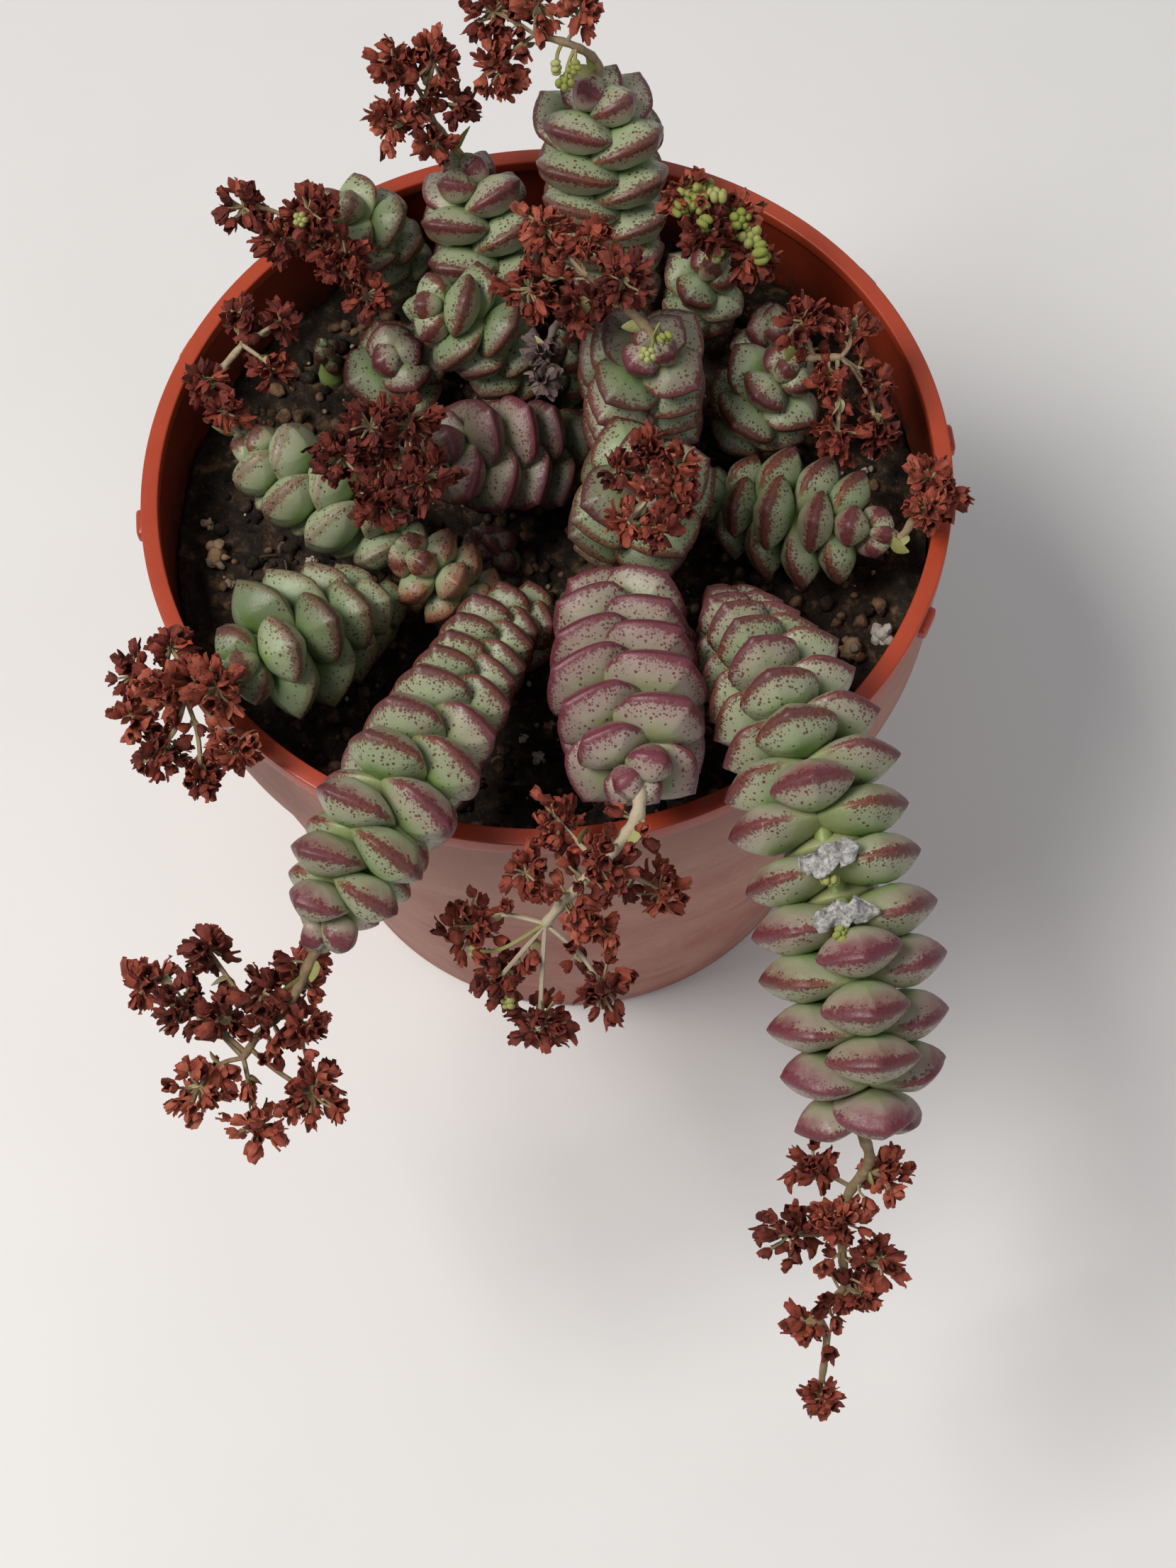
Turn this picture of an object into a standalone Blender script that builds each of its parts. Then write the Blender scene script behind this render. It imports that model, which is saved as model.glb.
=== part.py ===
"""A stacked crassula in a round plastic pot: leafy stems, dried flower heads, soil and pot.

Run with: blender --background --python part.py
Lengths below are in millimetres; the objects are made in metres.
+Z is up, the origin is the centre of the pot's base, -Y is the front.
"""

import math
import random

import bmesh
import bpy
from mathutils import Matrix, Vector, noise

MM = 0.001

# Pot
POT_HEIGHT = 107.0
RIM_RADIUS = 60.0
BASE_RADIUS = 44.5
WALL = 1.6
LIP_WIDTH = 2.6
LIP_DROP = 3.0
LIP_SLOPE = 0.8
SKIRT_DROP = 22.0
SKIRT_STEP = 1.0
SKIRT_TAPER = 1.0
FOOT_HEIGHT = 1.0
POT_SIDES = 32
LUG_COUNT = 12
LUG_START_DEG = 1.3
LUG_SIZE = (2.4, 4.6, 2.4)
LUG_PROUD = 1.0
LUG_DROP = 1.6
DRAIN_COUNT = 6
DRAIN_START_DEG = 20.0
DRAIN_RADIUS = 4.0
DRAIN_CIRCLE = 30.0
DRAIN_SIDES = 8
FLOOR = 2.0

# Soil
SOIL_TOP = 91.0
SOIL_LUMP = 1.6
SOIL_LUMP_SPACING = 9.0
SOIL_RADIUS = 54.0
SOIL_RINGS = 4
CLEARANCE = 0.4
HOLE_GAP = 0.8
HOLE_SIDES = 6

# Roots
ROOT_DEPTH = 7.0
ROOT_RADIUS = 2.2
ROOT_SHOULDER = 0.8
BARE_LENGTH = 1.5

# Leafy stems
LEAF_SIDES = 12
SLIM_SIDES = 8
SLIM_REACH = 12.2
LEVEL_STEPS = 120
PITCH_SHARE = 0.36
PITCH_LEAST = 2.7
LEAF_WAIST = 0.54
LEAF_POINT = 1.8
LEAF_PLUMP = 1.9
LEAF_LIFT = 0.2
TIP_SHARE = 0.4
TIP_GROWTH = 0.25

# Dried florets
FLORET_WIDTH = 4.3
FLORET_SINK = 0.3
FLORETS_PER_REACH = 1.7
CORE_SHARE = 0.4
SMALL_CLUSTER = 3.0
STALK_RADIUS = 0.7
STALK_START = 1.5
STALK_RESOLUTION = 0
BRANCH_RADIUS = 0.5
WELD = 0.001
SHARP_DEG = 35.0

# Each stem: its route as (x, y, z, reach of the leaves), the turn of its first pair in degrees,
# and the pitch of its pairs as a share of their reach
STEMS = {
    "stem_tall_back": {
        "route": [(13, 35.5, 91, 4), (13, 36, 97, 8.5), (12.8, 39.5, 109, 11.4), (12.5, 46, 125, 12),
                  (12.6, 48.5, 132, 10.5)],
        "turn": 45,
        "pitch": 0.27,
    },
    "stem_back_left": {
        "route": [(-5, 34, 91, 4), (-5, 34.5, 97, 7.5), (-6.5, 39, 108, 10.4), (-8, 46, 120, 9.5)],
        "turn": 52,
        "pitch": 0.3,
    },
    "stem_left_back": {
        "route": [(-19, 45, 91, 3), (-19.5, 44.8, 98, 4.8), (-21.8, 44.4, 106, 6), (-25, 44.2, 112, 6.8),
                  (-29.2, 44.5, 116, 6)],
        "turn": 78,
    },
    "stem_left_rosette": {
        "route": [(-21, 28.5, 91, 3.5), (-21.5, 27.5, 96, 6.2), (-21, 25.5, 103, 6.6)],
        "turn": 20,
        "pitch": 0.3,
    },
    "stem_left_inner": {
        "route": [(-4, 22.5, 91, 3), (-4, 22, 98, 5), (-4.8, 22, 105, 6.3), (-7.5, 22.8, 112, 7),
                  (-12, 23.6, 116, 7.2), (-16, 23.4, 118, 6.4)],
        "turn": 60,
    },
    "stem_pale_tip": {
        "route": [(4.5, 23, 91, 3), (4.5, 23, 97, 3.5), (4.5, 24.5, 107, 4.5)],
        "turn": 45,
    },
    "stem_purple_left": {
        "route": [(3, 8.5, 91, 4), (1.5, 8, 98, 9), (-6.5, 4.5, 106, 10.5), (-16.5, 1, 113, 8)],
        "turn": 23,
        "pitch": 0.25,
    },
    "stem_left_green": {
        "route": [(-22, -4, 91, 3.5), (-24.5, -3, 98, 8), (-33.5, 2, 103, 9.6), (-43.5, 10, 106, 7)],
        "turn": 80,
    },
    "stem_left_low": {
        "route": [(-26, -14.5, 91, 4), (-29, -17.5, 101, 8.5), (-36.5, -26, 110, 11), (-45, -33, 116, 9)],
        "turn": 10,
        "pitch": 0.3,
    },
    "stem_thin_chain": {
        "route": [(-10, -15, 91, 2.5), (-11, -15.2, 97, 3.6), (-15.5, -14.6, 103, 5), (-21, -12.8, 109, 5)],
        "turn": 45,
    },
    "stem_front_left": {
        "route": [(-1, -19, 91, 4), (-3, -20, 97, 7), (-9, -25, 104, 8), (-13, -34, 110, 8.8),
                  (-17.5, -45.5, 117, 10.5), (-23, -56, 120.5, 11.5), (-28, -63.5, 120, 10.8),
                  (-31.5, -70, 118, 9), (-34.5, -74, 115, 7)],
        "turn": 77,
        "pitch": 0.3,
    },
    "stem_front_arch": {
        "route": [(11.5, -22, 91, 5), (11, -23.5, 101, 8.5), (9.5, -28.5, 109, 12), (9, -39.5, 115, 12.6),
                  (9, -50, 119.5, 12), (9, -59, 122, 8)],
        "turn": 45,
        "pitch": 0.26,
    },
    "stem_centre": {
        "route": [(12, -5, 91, 4), (12, -6, 98, 10), (13, -8, 108, 12), (15, -11, 122, 11)],
        "turn": 20,
        "pitch": 0.26,
    },
    "stem_centre_back": {
        "route": [(14, 13.5, 91, 4), (14.5, 13, 98, 9), (15, 11, 108, 11.6), (17, 6.5, 128, 9)],
        "turn": 45,
        "pitch": 0.26,
    },
    "stem_right_back": {
        "route": [(26, 32, 91, 3), (26, 31, 97, 5), (26, 30.5, 105, 6.5), (28.5, 30, 114, 5.5)],
        "turn": 45,
    },
    "stem_right_cluster": {
        "route": [(31, 11, 91, 3), (31.5, 11, 97, 7), (33.5, 11, 104, 9), (37.5, 11, 113, 6)],
        "turn": 45,
    },
    "stem_right_upper": {
        "route": [(36, 25, 91, 2.5), (36, 24.8, 97, 5), (37, 24, 105, 5.8)],
        "turn": 0,
    },
    "stem_right_low": {
        "route": [(25, 0, 91, 3), (26, -1.5, 97, 7), (36, -8, 102, 10.5), (49, -15, 106, 5)],
        "turn": -6,
        "pitch": 0.3,
    },
    "stem_front_trailing": {
        "route": [(25, -17, 91, 3), (25, -25, 105, 5.5), (26, -34, 113, 8.5), (29.5, -47, 121, 10.5),
                  (31.5, -59.5, 124, 11.5), (32.5, -69.5, 122.5, 11.8), (34, -79, 119.5, 12),
                  (35, -87, 115, 12), (35, -95, 109.5, 11.8), (34.5, -101, 103.5, 9.5)],
        "turn": 45,
        "pitch": 0.29,
        "twist": -45,
        "tip": 0.85,
    },
    "stem_small_dark": {
        "route": [(-7, -5, 91, 2), (-8, -6, 96, 4), (-10, -7, 104, 3)],
        "turn": 20,
    },
    "plantlet_left": {
        "route": [(-32.5, 32, 91, 2), (-32.5, 32, 95, 3.5), (-32.5, 31, 100, 3.5)],
        "turn": 30,
    },
}

# Each flower head: the stem that carries it, its stalk's way on from that stem's tip,
# and its clusters as (x, y, z, reach of the florets)
FLOWERS = {
    "flowers_tall_back": {
        "stem": "stem_tall_back",
        "stalk": [(12.5, 49.5, 138), (9, 48.5, 143), (4, 49.5, 144.5)],
        "clusters": [(-1.5, 54, 145, 4), (-1, 47, 141, 4), (4.5, 52, 148, 3.5), (11, 50, 149, 2.5)],
    },
    "flowers_back_left": {
        "stem": "stem_back_left",
        "stalk": [(-12, 50, 127), (-13, 50, 132)],
        "clusters": [(-17, 53, 137, 3.5), (-11, 53, 137, 4), (-18, 47, 132, 3.5), (-8, 48.5, 132, 3),
                     (-12, 44.5, 129, 2.5)],
    },
    "flowers_left_back": {
        "stem": "stem_left_back",
        "stalk": [(-32, 42.5, 120), (-35.5, 38.5, 123)],
        "clusters": [(-41, 39, 125, 3.5), (-36, 35, 122, 3.5), (-31, 36, 126, 4), (-27, 31, 121, 4),
                     (-24, 26, 118.5, 3)],
    },
    "flowers_left": {
        "stem": "stem_left_green",
        "stalk": [(-46.5, 14, 108), (-48, 18, 111), (-43, 21, 116)],
        "clusters": [(-49, 17, 113, 3), (-46, 11.5, 113, 3), (-37, 23, 118, 3), (-39, 17, 115, 3),
                     (-43, 25, 118, 3)],
    },
    "flowers_purple_left": {
        "stem": "stem_purple_left",
        "stalk": [(-21.5, -1, 118), (-23.5, -5, 123)],
        "clusters": [(-28, -5, 124, 4), (-18.5, -3, 127, 4), (-23.5, -12, 123, 4), (-16.5, -10, 125, 4),
                     (-23.5, -4, 129, 3.5)],
    },
    "flowers_left_low": {
        "stem": "stem_left_low",
        "stalk": [(-49, -36, 118), (-52, -37, 116)],
        "clusters": [(-54, -29, 116, 3), (-47, -38, 120, 3.5), (-60, -37, 112, 3.5), (-60, -31, 113, 3),
                     (-46, -43, 113, 3.5), (-51, -46, 110, 3), (-57, -42, 110, 3.5), (-54, -37, 119, 3.5)],
    },
    "flowers_front_left": {
        "stem": "stem_front_left",
        "stalk": [(-37, -77, 112), (-40, -81, 109), (-44, -83, 106), (-47, -85.5, 103)],
        "clusters": [(-38, -77, 109.5, 3.5), (-50.5, -72, 109, 3), (-60, -74, 104, 3),
                     (-54.5, -78, 105, 3.5), (-49, -81, 107, 3), (-43, -80, 112, 3),
                     (-38, -84, 108, 3), (-38, -91, 102, 4), (-53.5, -88, 100, 4), (-46, -93.5, 97, 3.5)],
    },
    "flowers_front_arch": {
        "stem": "stem_front_arch",
        "stalk": [(8, -64, 121), (3, -67.5, 116), (-2, -70, 111), (-5, -71.5, 107)],
        "clusters": [(-2, -61, 117, 3.5), (4, -68, 115, 3.5), (-7, -66, 112, 3), (11, -69, 109, 3.5),
                     (2, -73, 108, 3), (-15, -70, 105, 4), (-12, -76, 100, 3.5), (-7, -82, 97, 4),
                     (2, -79, 101, 4)],
    },
    "flowers_centre": {
        "stem": "stem_centre",
        "stalk": [(15, -14, 128), (15, -18, 132)],
        "clusters": [(10.4, -17.7, 134, 3.4), (14.1, -15.4, 135, 3.4), (18, -17.3, 133.4, 3.4),
                     (18.4, -22, 132, 3.4), (14.8, -25.3, 130.8, 3.4), (10.4, -23.9, 130.8, 3.4)],
    },
    "flowers_centre_back": {
        "stem": "stem_centre_back",
        "stalk": [(15, 8, 132), (11, 11, 135), (8, 12, 138)],
        "clusters": [(3, 18, 141, 3.5), (9, 16, 140, 3.5), (0.5, 12, 136, 3.5), (7, 9, 135, 3.5),
                     (13, 10, 139, 4)],
    },
    "flowers_right_back": {
        "stem": "stem_right_back",
        "stalk": [(27, 28, 120)],
        "clusters": [(26, 27, 125, 3.5), (31, 31, 124, 3), (24, 33, 127, 3.5), (33, 26, 120, 3)],
    },
    "flowers_right_cluster": {
        "stem": "stem_right_cluster",
        "stalk": [(40, 8, 119), (44, 7, 120)],
        "clusters": [(39, 11, 124, 4), (46, 10, 122, 3.5), (42, 4, 118, 3), (43, -1, 113, 3.5),
                     (49, 5, 116, 3), (49, -1, 112, 3)],
    },
    "flowers_right_low": {
        "stem": "stem_right_low",
        "stalk": [(53, -14, 111)],
        "clusters": [(54.8, -10.8, 114, 2.8), (57.4, -13.2, 113.2, 2.8), (54.2, -15.4, 113.5, 2.6)],
    },
    "flowers_trailing": {
        "stem": "stem_front_trailing",
        "stalk": [(35.5, -105.5, 97), (32.5, -108.5, 91), (31.5, -114, 85), (31.5, -118, 80),
                  (28, -120.5, 76), (29, -122.5, 72), (28, -127.5, 66)],
        "clusters": [(37.5, -107, 95, 3), (28, -105, 94, 3), (31, -111, 89, 3.4), (24.5, -112, 88, 3.4),
                     (36.5, -116, 85, 3), (33.5, -119, 80, 3), (26, -121, 74, 2.4),
                     (28, -129.5, 64, 2.4)],
    },
    "flowers_pale_tip": {
        "stem": "stem_pale_tip",
        "stalk": [(3, 21, 113), (2, 16, 114)],
        "clusters": [(1.5, 16.5, 115, 3), (1, 11, 115, 3)],
    },
}


def remove_everything():
    for obj in list(bpy.data.objects):
        bpy.data.objects.remove(obj, do_unlink=True)


def make_collection(name):
    collection = bpy.data.collections.new(name)
    bpy.context.scene.collection.children.link(collection)
    return collection


def make_material(name, colour, roughness):
    material = bpy.data.materials.new(name)
    material.use_nodes = True
    shader = material.node_tree.nodes["Principled BSDF"]
    shader.inputs["Base Color"].default_value = (*colour, 1.0)
    shader.inputs["Roughness"].default_value = roughness
    shader.inputs["Metallic"].default_value = 0.0
    return material


def make_object(name, mesh, collection, material=None):
    obj = bpy.data.objects.new(name, mesh)
    collection.objects.link(obj)
    if material:
        mesh.materials.append(material)
    return obj


def mesh_from_rings(name, rings, start, end):
    """A closed tube through rings of equal count, with a point at each end."""
    count = len(rings[0])
    points = [point for ring in rings for point in ring] + [start, end]
    faces = []
    for row in range(len(rings) - 1):
        for side in range(count):
            a = row * count + side
            b = row * count + (side + 1) % count
            faces.append((a, b, b + count, a + count))
    first, last = len(points) - 2, len(points) - 1
    top = (len(rings) - 1) * count
    for side in range(count):
        after = (side + 1) % count
        faces.append((first, after, side))
        faces.append((last, top + side, top + after))
    mesh = bpy.data.meshes.new(name)
    mesh.from_pydata([tuple(Vector(point) * MM) for point in points], [], faces)
    mesh.update()
    return mesh


class Spine:
    """A smooth route through control points, read by its length."""

    STEPS = 24

    def __init__(self, controls, turn=0.0, twist=0.0):
        padded = [controls[0], *controls, controls[-1]]
        self.samples = []
        for i in range(len(controls) - 1):
            for step in range(self.STEPS):
                self.samples.append(self.blend(padded[i:i + 4], step / self.STEPS))
        self.samples.append(list(controls[-1]))
        self.lengths = [0.0]
        for a, b in zip(self.samples, self.samples[1:]):
            self.lengths.append(self.lengths[-1] + (Vector(b[:3]) - Vector(a[:3])).length)
        self.length = self.lengths[-1]
        self.sides = self.carried_sides(turn, twist)

    @staticmethod
    def blend(four, t):
        """Catmull-Rom through the middle two of four points, in all their values."""
        result = []
        for p0, p1, p2, p3 in zip(*four):
            result.append(0.5 * (2 * p1 + (p2 - p0) * t + (2 * p0 - 5 * p1 + 4 * p2 - p3) * t * t
                                 + (3 * p1 - p0 - 3 * p2 + p3) * t ** 3))
        return result

    def tangent(self, i):
        low, high = max(i - 1, 0), min(i + 1, len(self.samples) - 1)
        return (Vector(self.samples[high][:3]) - Vector(self.samples[low][:3])).normalized()

    def carried_sides(self, turn, twist):
        """A side vector at each sample, carried along the route and twisted evenly with length."""
        angle = math.radians(turn)
        side = Vector((math.cos(angle), math.sin(angle), 0))
        sides = []
        for i, length in enumerate(self.lengths):
            tangent = self.tangent(i)
            side = (side - tangent * side.dot(tangent)).normalized()
            turned = Matrix.Rotation(math.radians(twist) * length / self.length, 3, tangent)
            sides.append(turned @ side)
        return sides

    def at(self, distance):
        """The centre, side, other side, tangent and extra values at a distance along the route."""
        distance = min(max(distance, 0.0), self.length)
        i = 0
        while i < len(self.lengths) - 2 and self.lengths[i + 1] < distance:
            i += 1
        share = (distance - self.lengths[i]) / max(self.lengths[i + 1] - self.lengths[i], 1e-9)
        low, high = self.samples[i], self.samples[i + 1]
        values = [a + (b - a) * share for a, b in zip(low, high)]
        tangent = self.tangent(i).lerp(self.tangent(i + 1), share).normalized()
        side = self.sides[i].lerp(self.sides[i + 1], share)
        side = (side - tangent * side.dot(tangent)).normalized()
        return Vector(values[:3]), side, tangent.cross(side), tangent, values[3:]


def leaf_outline(angle):
    """The reach of a leaf pair at an angle from its tips, as a share of its longest reach."""
    along = abs(math.cos(angle)) ** LEAF_POINT
    across = (abs(math.sin(angle)) / LEAF_WAIST) ** LEAF_POINT
    return (along + across) ** (-1 / LEAF_POINT)


def leaf_swell(offset):
    """How far a pillow-like leaf pair stands out at an offset from its middle, in pitches."""
    offset = min(abs(offset), 1.0)
    return (1 - offset ** LEAF_PLUMP) ** (1 / LEAF_PLUMP)


def braid_reach(level, angle):
    """The stacked pairs' reach at a level in pitches: each pair is a quarter turn from the last."""
    reach = 0.3
    for pair in (math.floor(level), math.floor(level) + 1):
        facing = angle - pair * math.pi / 2
        reach = max(reach, leaf_outline(facing) * leaf_swell(level - pair))
    return reach


def ring_points(centre, side, other, radii, shift=None):
    """A ring of points about a centre, each at its own radius and shifted by its own vector."""
    points = []
    for k, radius in enumerate(radii):
        angle = 2 * math.pi * k / len(radii)
        point = centre + side * (radius * math.cos(angle)) + other * (radius * math.sin(angle))
        points.append(point + shift[k] if shift else point)
    return points


def stem_spine(stem):
    """The stem's route, from the foot of its hole in the soil to its tip."""
    x, y, _, reach = stem["route"][0]
    foot = (x, y, SOIL_TOP - ROOT_DEPTH, reach)
    return Spine([foot, *stem["route"]], stem["turn"], stem.get("twist", 0))


def leaf_levels(spine, start, share):
    """The distance of each half level along the route: bigger leaves are spaced wider."""
    steps = LEVEL_STEPS
    distances = [start + (spine.length - start) * k / steps for k in range(steps + 1)]
    levels = [0.0]
    for low, high in zip(distances, distances[1:]):
        reach = spine.at((low + high) / 2)[4][0]
        levels.append(levels[-1] + (high - low) / max(PITCH_LEAST, share * reach))
    pairs = max(3, round(levels[-1]))
    found = []
    k = 0
    for half in range(1, 2 * pairs):
        wanted = half / 2 * levels[-1] / pairs
        while levels[k + 1] < wanted:
            k += 1
        past = (wanted - levels[k]) / (levels[k + 1] - levels[k])
        found.append((half / 2, distances[k] + (distances[k + 1] - distances[k]) * past))
    return pairs, found


def make_stem(name, stem, collection, material):
    """A leafy stem: a bare root in its hole, then leaf pairs raised along the route."""
    spine = stem_spine(stem)
    start = ROOT_DEPTH + BARE_LENGTH
    sides = LEAF_SIDES if max(point[3] for point in stem["route"]) > SLIM_REACH else SLIM_SIDES
    pairs, levels = leaf_levels(spine, start, stem.get("pitch", PITCH_SHARE))
    rings = []
    for distance in (0.0, start - ROOT_SHOULDER):
        centre, side, other, _, _ = spine.at(distance)
        rings.append(ring_points(centre, side, other, [ROOT_RADIUS] * sides))
    for level, distance in levels:
        centre, side, other, tangent, extra = spine.at(distance)
        taper = min(1.0, stem.get("tip", TIP_SHARE) + TIP_GROWTH * (pairs - level))
        shares = [braid_reach(level, 2 * math.pi * k / sides) for k in range(sides)]
        radii = [extra[0] * taper * share for share in shares]
        lifts = [tangent * (LEAF_LIFT * radius) for radius in radii]
        rings.append(ring_points(centre, side, other, radii, lifts))
    mesh = mesh_from_rings(name, rings, spine.at(0.0)[0], spine.at(spine.length)[0])
    return make_object(name, mesh, collection, material)


def make_tube(name, points, radius, collection):
    """A thin tube through points, made as a bevelled curve and turned into a closed mesh."""
    curve = bpy.data.curves.new(name, "CURVE")
    curve.dimensions = "3D"
    curve.bevel_depth = radius * MM
    curve.bevel_resolution = STALK_RESOLUTION
    curve.use_fill_caps = True
    line = curve.splines.new("POLY")
    line.points.add(len(points) - 1)
    for spot, point in zip(line.points, points):
        spot.co = (*(Vector(point) * MM), 1.0)
    guide = bpy.data.objects.new(name, curve)
    collection.objects.link(guide)
    bpy.context.view_layer.update()
    evaluated = guide.evaluated_get(bpy.context.evaluated_depsgraph_get())
    mesh = bpy.data.meshes.new_from_object(evaluated)
    bpy.data.objects.remove(guide, do_unlink=True)
    shell = bmesh.new()
    shell.from_mesh(mesh)
    bmesh.ops.remove_doubles(shell, verts=shell.verts, dist=WELD * MM)
    shell.to_mesh(mesh)
    shell.free()
    return make_object(name, mesh, collection)


def spread_faces(shell, count, away, draw):
    """Up to count faces of a core that share no edge with each other or with the branch's face."""
    order = sorted(shell.faces, key=lambda face: face.normal.dot(away))
    branch = order[0]
    rest = order[1:]
    draw.shuffle(rest)
    chosen = []
    taken = {branch}
    for face in rest:
        beside = {near for edge in face.edges for near in edge.link_faces if near is not face}
        if len(chosen) < count and not beside & taken:
            chosen.append(face)
            taken.add(face)
    return branch, chosen


def move_face(shell, face, shift, scale):
    """Raise a face on new sides, and scale it about its own middle."""
    raised = bmesh.ops.extrude_discrete_faces(shell, faces=[face])["faces"][0]
    middle = raised.calc_center_median()
    for vertex in raised.verts:
        vertex.co = middle + (vertex.co - middle) * scale + shift
    return raised


def raise_floret(shell, face, length):
    """A dried floret: a face of the core drawn out and flared to a ragged crown, sunk in the middle."""
    normal = face.normal.copy()
    side = max((v.co - face.calc_center_median()).length for v in face.verts)
    crown = move_face(shell, face, normal * length, FLORET_WIDTH / 2 * MM / side)
    middle = bmesh.ops.poke(shell, faces=[crown])["verts"][0]
    middle.co -= normal * (FLORET_SINK * FLORET_WIDTH * MM)


def make_cluster(name, cluster, foot, draw, collection):
    """A knot of florets raised from a small core, with the branch that carries it."""
    centre, reach = Vector(cluster[:3]), cluster[3]
    core = CORE_SHARE * reach
    shell = bmesh.new()
    if reach > SMALL_CLUSTER:
        bmesh.ops.create_icosphere(shell, subdivisions=1, radius=core * MM)
    else:
        bmesh.ops.create_uvsphere(shell, u_segments=4, v_segments=2, radius=core * MM)
    away = (centre - foot).normalized()
    turn = Matrix.Rotation(draw.uniform(0, 2 * math.pi), 3, "Z")
    tilt = Matrix.Rotation(draw.uniform(0, 2 * math.pi), 3, "X")
    bmesh.ops.rotate(shell, verts=shell.verts, matrix=turn @ tilt)
    shell.normal_update()
    count = max(2, round(FLORETS_PER_REACH * reach))
    branch, chosen = spread_faces(shell, count, away, draw)
    for face in chosen:
        raise_floret(shell, face, (reach - core) * draw.uniform(0.9, 1.1) * MM)
    reached = (foot - centre) * MM - branch.calc_center_median()
    move_face(shell, branch, reached, BRANCH_RADIUS * 1.9 / core)
    bmesh.ops.translate(shell, verts=shell.verts, vec=centre * MM)
    mesh = bpy.data.meshes.new(name)
    shell.to_mesh(mesh)
    shell.free()
    return make_object(name, mesh, collection)


def nearest_on_line(line, point):
    """The point of a polyline that lies nearest to a point."""
    best = None
    for a, b in zip(line, line[1:]):
        along = b - a
        share = min(max((point - a).dot(along) / along.length_squared, 0.0), 1.0)
        spot = a + along * share
        if best is None or (point - spot).length < (point - best).length:
            best = spot
    return best


def make_flowers(name, head, collection, material):
    """A flower head: its stalk from the stem's tip, a branch to each cluster, and the florets."""
    draw = random.Random(name)
    repeats = bpy.data.collections.new(f"{name}_repeats")
    bpy.context.scene.collection.children.link(repeats)
    spine = stem_spine(STEMS[head["stem"]])
    tip, _, _, tangent, _ = spine.at(spine.length)
    stalk = [tip + tangent * CLEARANCE, tip + tangent * (CLEARANCE + STALK_START)]
    stalk += [Vector(point) for point in head["stalk"]]
    body = make_tube(name, stalk, STALK_RADIUS, collection)
    for k, cluster in enumerate(head["clusters"]):
        foot = nearest_on_line(stalk[1:], Vector(cluster[:3]))
        make_cluster(f"{name}_cluster_{k}", cluster, foot, draw, repeats)
    body.data.materials.append(material)
    union_with(body, repeats, "EXACT")
    drop_scraps(body)
    return body


def drop_scraps(body):
    """Keep only the largest connected part of a body, so that no loose or sealed bit is left."""
    shell = bmesh.new()
    shell.from_mesh(body.data)
    unseen = set(shell.verts)
    groups = []
    while unseen:
        group = [unseen.pop()]
        for vertex in group:
            for edge in vertex.link_edges:
                near = edge.other_vert(vertex)
                if near in unseen:
                    unseen.remove(near)
                    group.append(near)
        groups.append(group)
    groups.sort(key=len)
    scraps = [vertex for group in groups[:-1] for vertex in group]
    bmesh.ops.delete(shell, geom=scraps, context="VERTS")
    shell.to_mesh(body.data)
    shell.free()


def union_with(body, repeats, solver):
    """Join a collection's objects to a body by one Boolean union, and remove them."""
    modifier = body.modifiers.new("union", "BOOLEAN")
    modifier.operation = "UNION"
    modifier.operand_type = "COLLECTION"
    modifier.collection = repeats
    modifier.solver = solver
    apply_modifiers(body)
    for obj in list(repeats.objects):
        bpy.data.objects.remove(obj, do_unlink=True)
    bpy.data.collections.remove(repeats)


def apply_modifiers(obj):
    """Replace an object's mesh by its evaluated mesh, with its material kept."""
    bpy.context.view_layer.update()
    evaluated = obj.evaluated_get(bpy.context.evaluated_depsgraph_get())
    mesh = bpy.data.meshes.new_from_object(evaluated)
    obj.modifiers.clear()
    obj.data = mesh


def outer_radius(z):
    """The pot's outside below the lip: a skirt, then a body that tapers to the base."""
    skirt_foot = POT_HEIGHT - SKIRT_DROP
    if z >= skirt_foot:
        return RIM_RADIUS - SKIRT_TAPER * (POT_HEIGHT - z) / SKIRT_DROP
    body_top = RIM_RADIUS - SKIRT_TAPER - SKIRT_STEP
    return BASE_RADIUS + (body_top - BASE_RADIUS) * z / skirt_foot


def inner_radius(z):
    return outer_radius(z) - WALL


def turned(name, profile, collection, sides):
    """A turned solid from a closed profile of (radius, height), its outer side listed downwards."""
    mesh = bpy.data.meshes.new(name)
    points = [(radius * MM, 0.0, z * MM) for radius, z in profile]
    edges = [(i, i + 1) for i in range(len(points) - 1)]
    if profile[0][0] > 0:
        edges.append((len(points) - 1, 0))
    mesh.from_pydata(points, edges, [])
    obj = make_object(name, mesh, collection)
    screw = obj.modifiers.new("turn", "SCREW")
    screw.steps = sides
    screw.render_steps = sides
    screw.use_merge_vertices = True
    screw.merge_threshold = 0.00001
    screw.use_smooth_shade = True
    apply_modifiers(obj)
    return obj


def pot_profile():
    skirt_foot = POT_HEIGHT - SKIRT_DROP
    below = skirt_foot - SKIRT_STEP
    return [
        (0.0, FLOOR),
        (inner_radius(FLOOR), FLOOR),
        (inner_radius(below), below),
        (inner_radius(skirt_foot), skirt_foot),
        (inner_radius(POT_HEIGHT - LIP_DROP), POT_HEIGHT - LIP_DROP),
        (RIM_RADIUS - LIP_WIDTH, POT_HEIGHT - LIP_DROP + LIP_SLOPE),
        (RIM_RADIUS - LIP_WIDTH, POT_HEIGHT),
        (RIM_RADIUS, POT_HEIGHT),
        (outer_radius(skirt_foot), skirt_foot),
        (outer_radius(below), below),
        (BASE_RADIUS, FOOT_HEIGHT),
        (BASE_RADIUS - FOOT_HEIGHT, 0.0),
        (0.0, 0.0),
    ]


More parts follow.
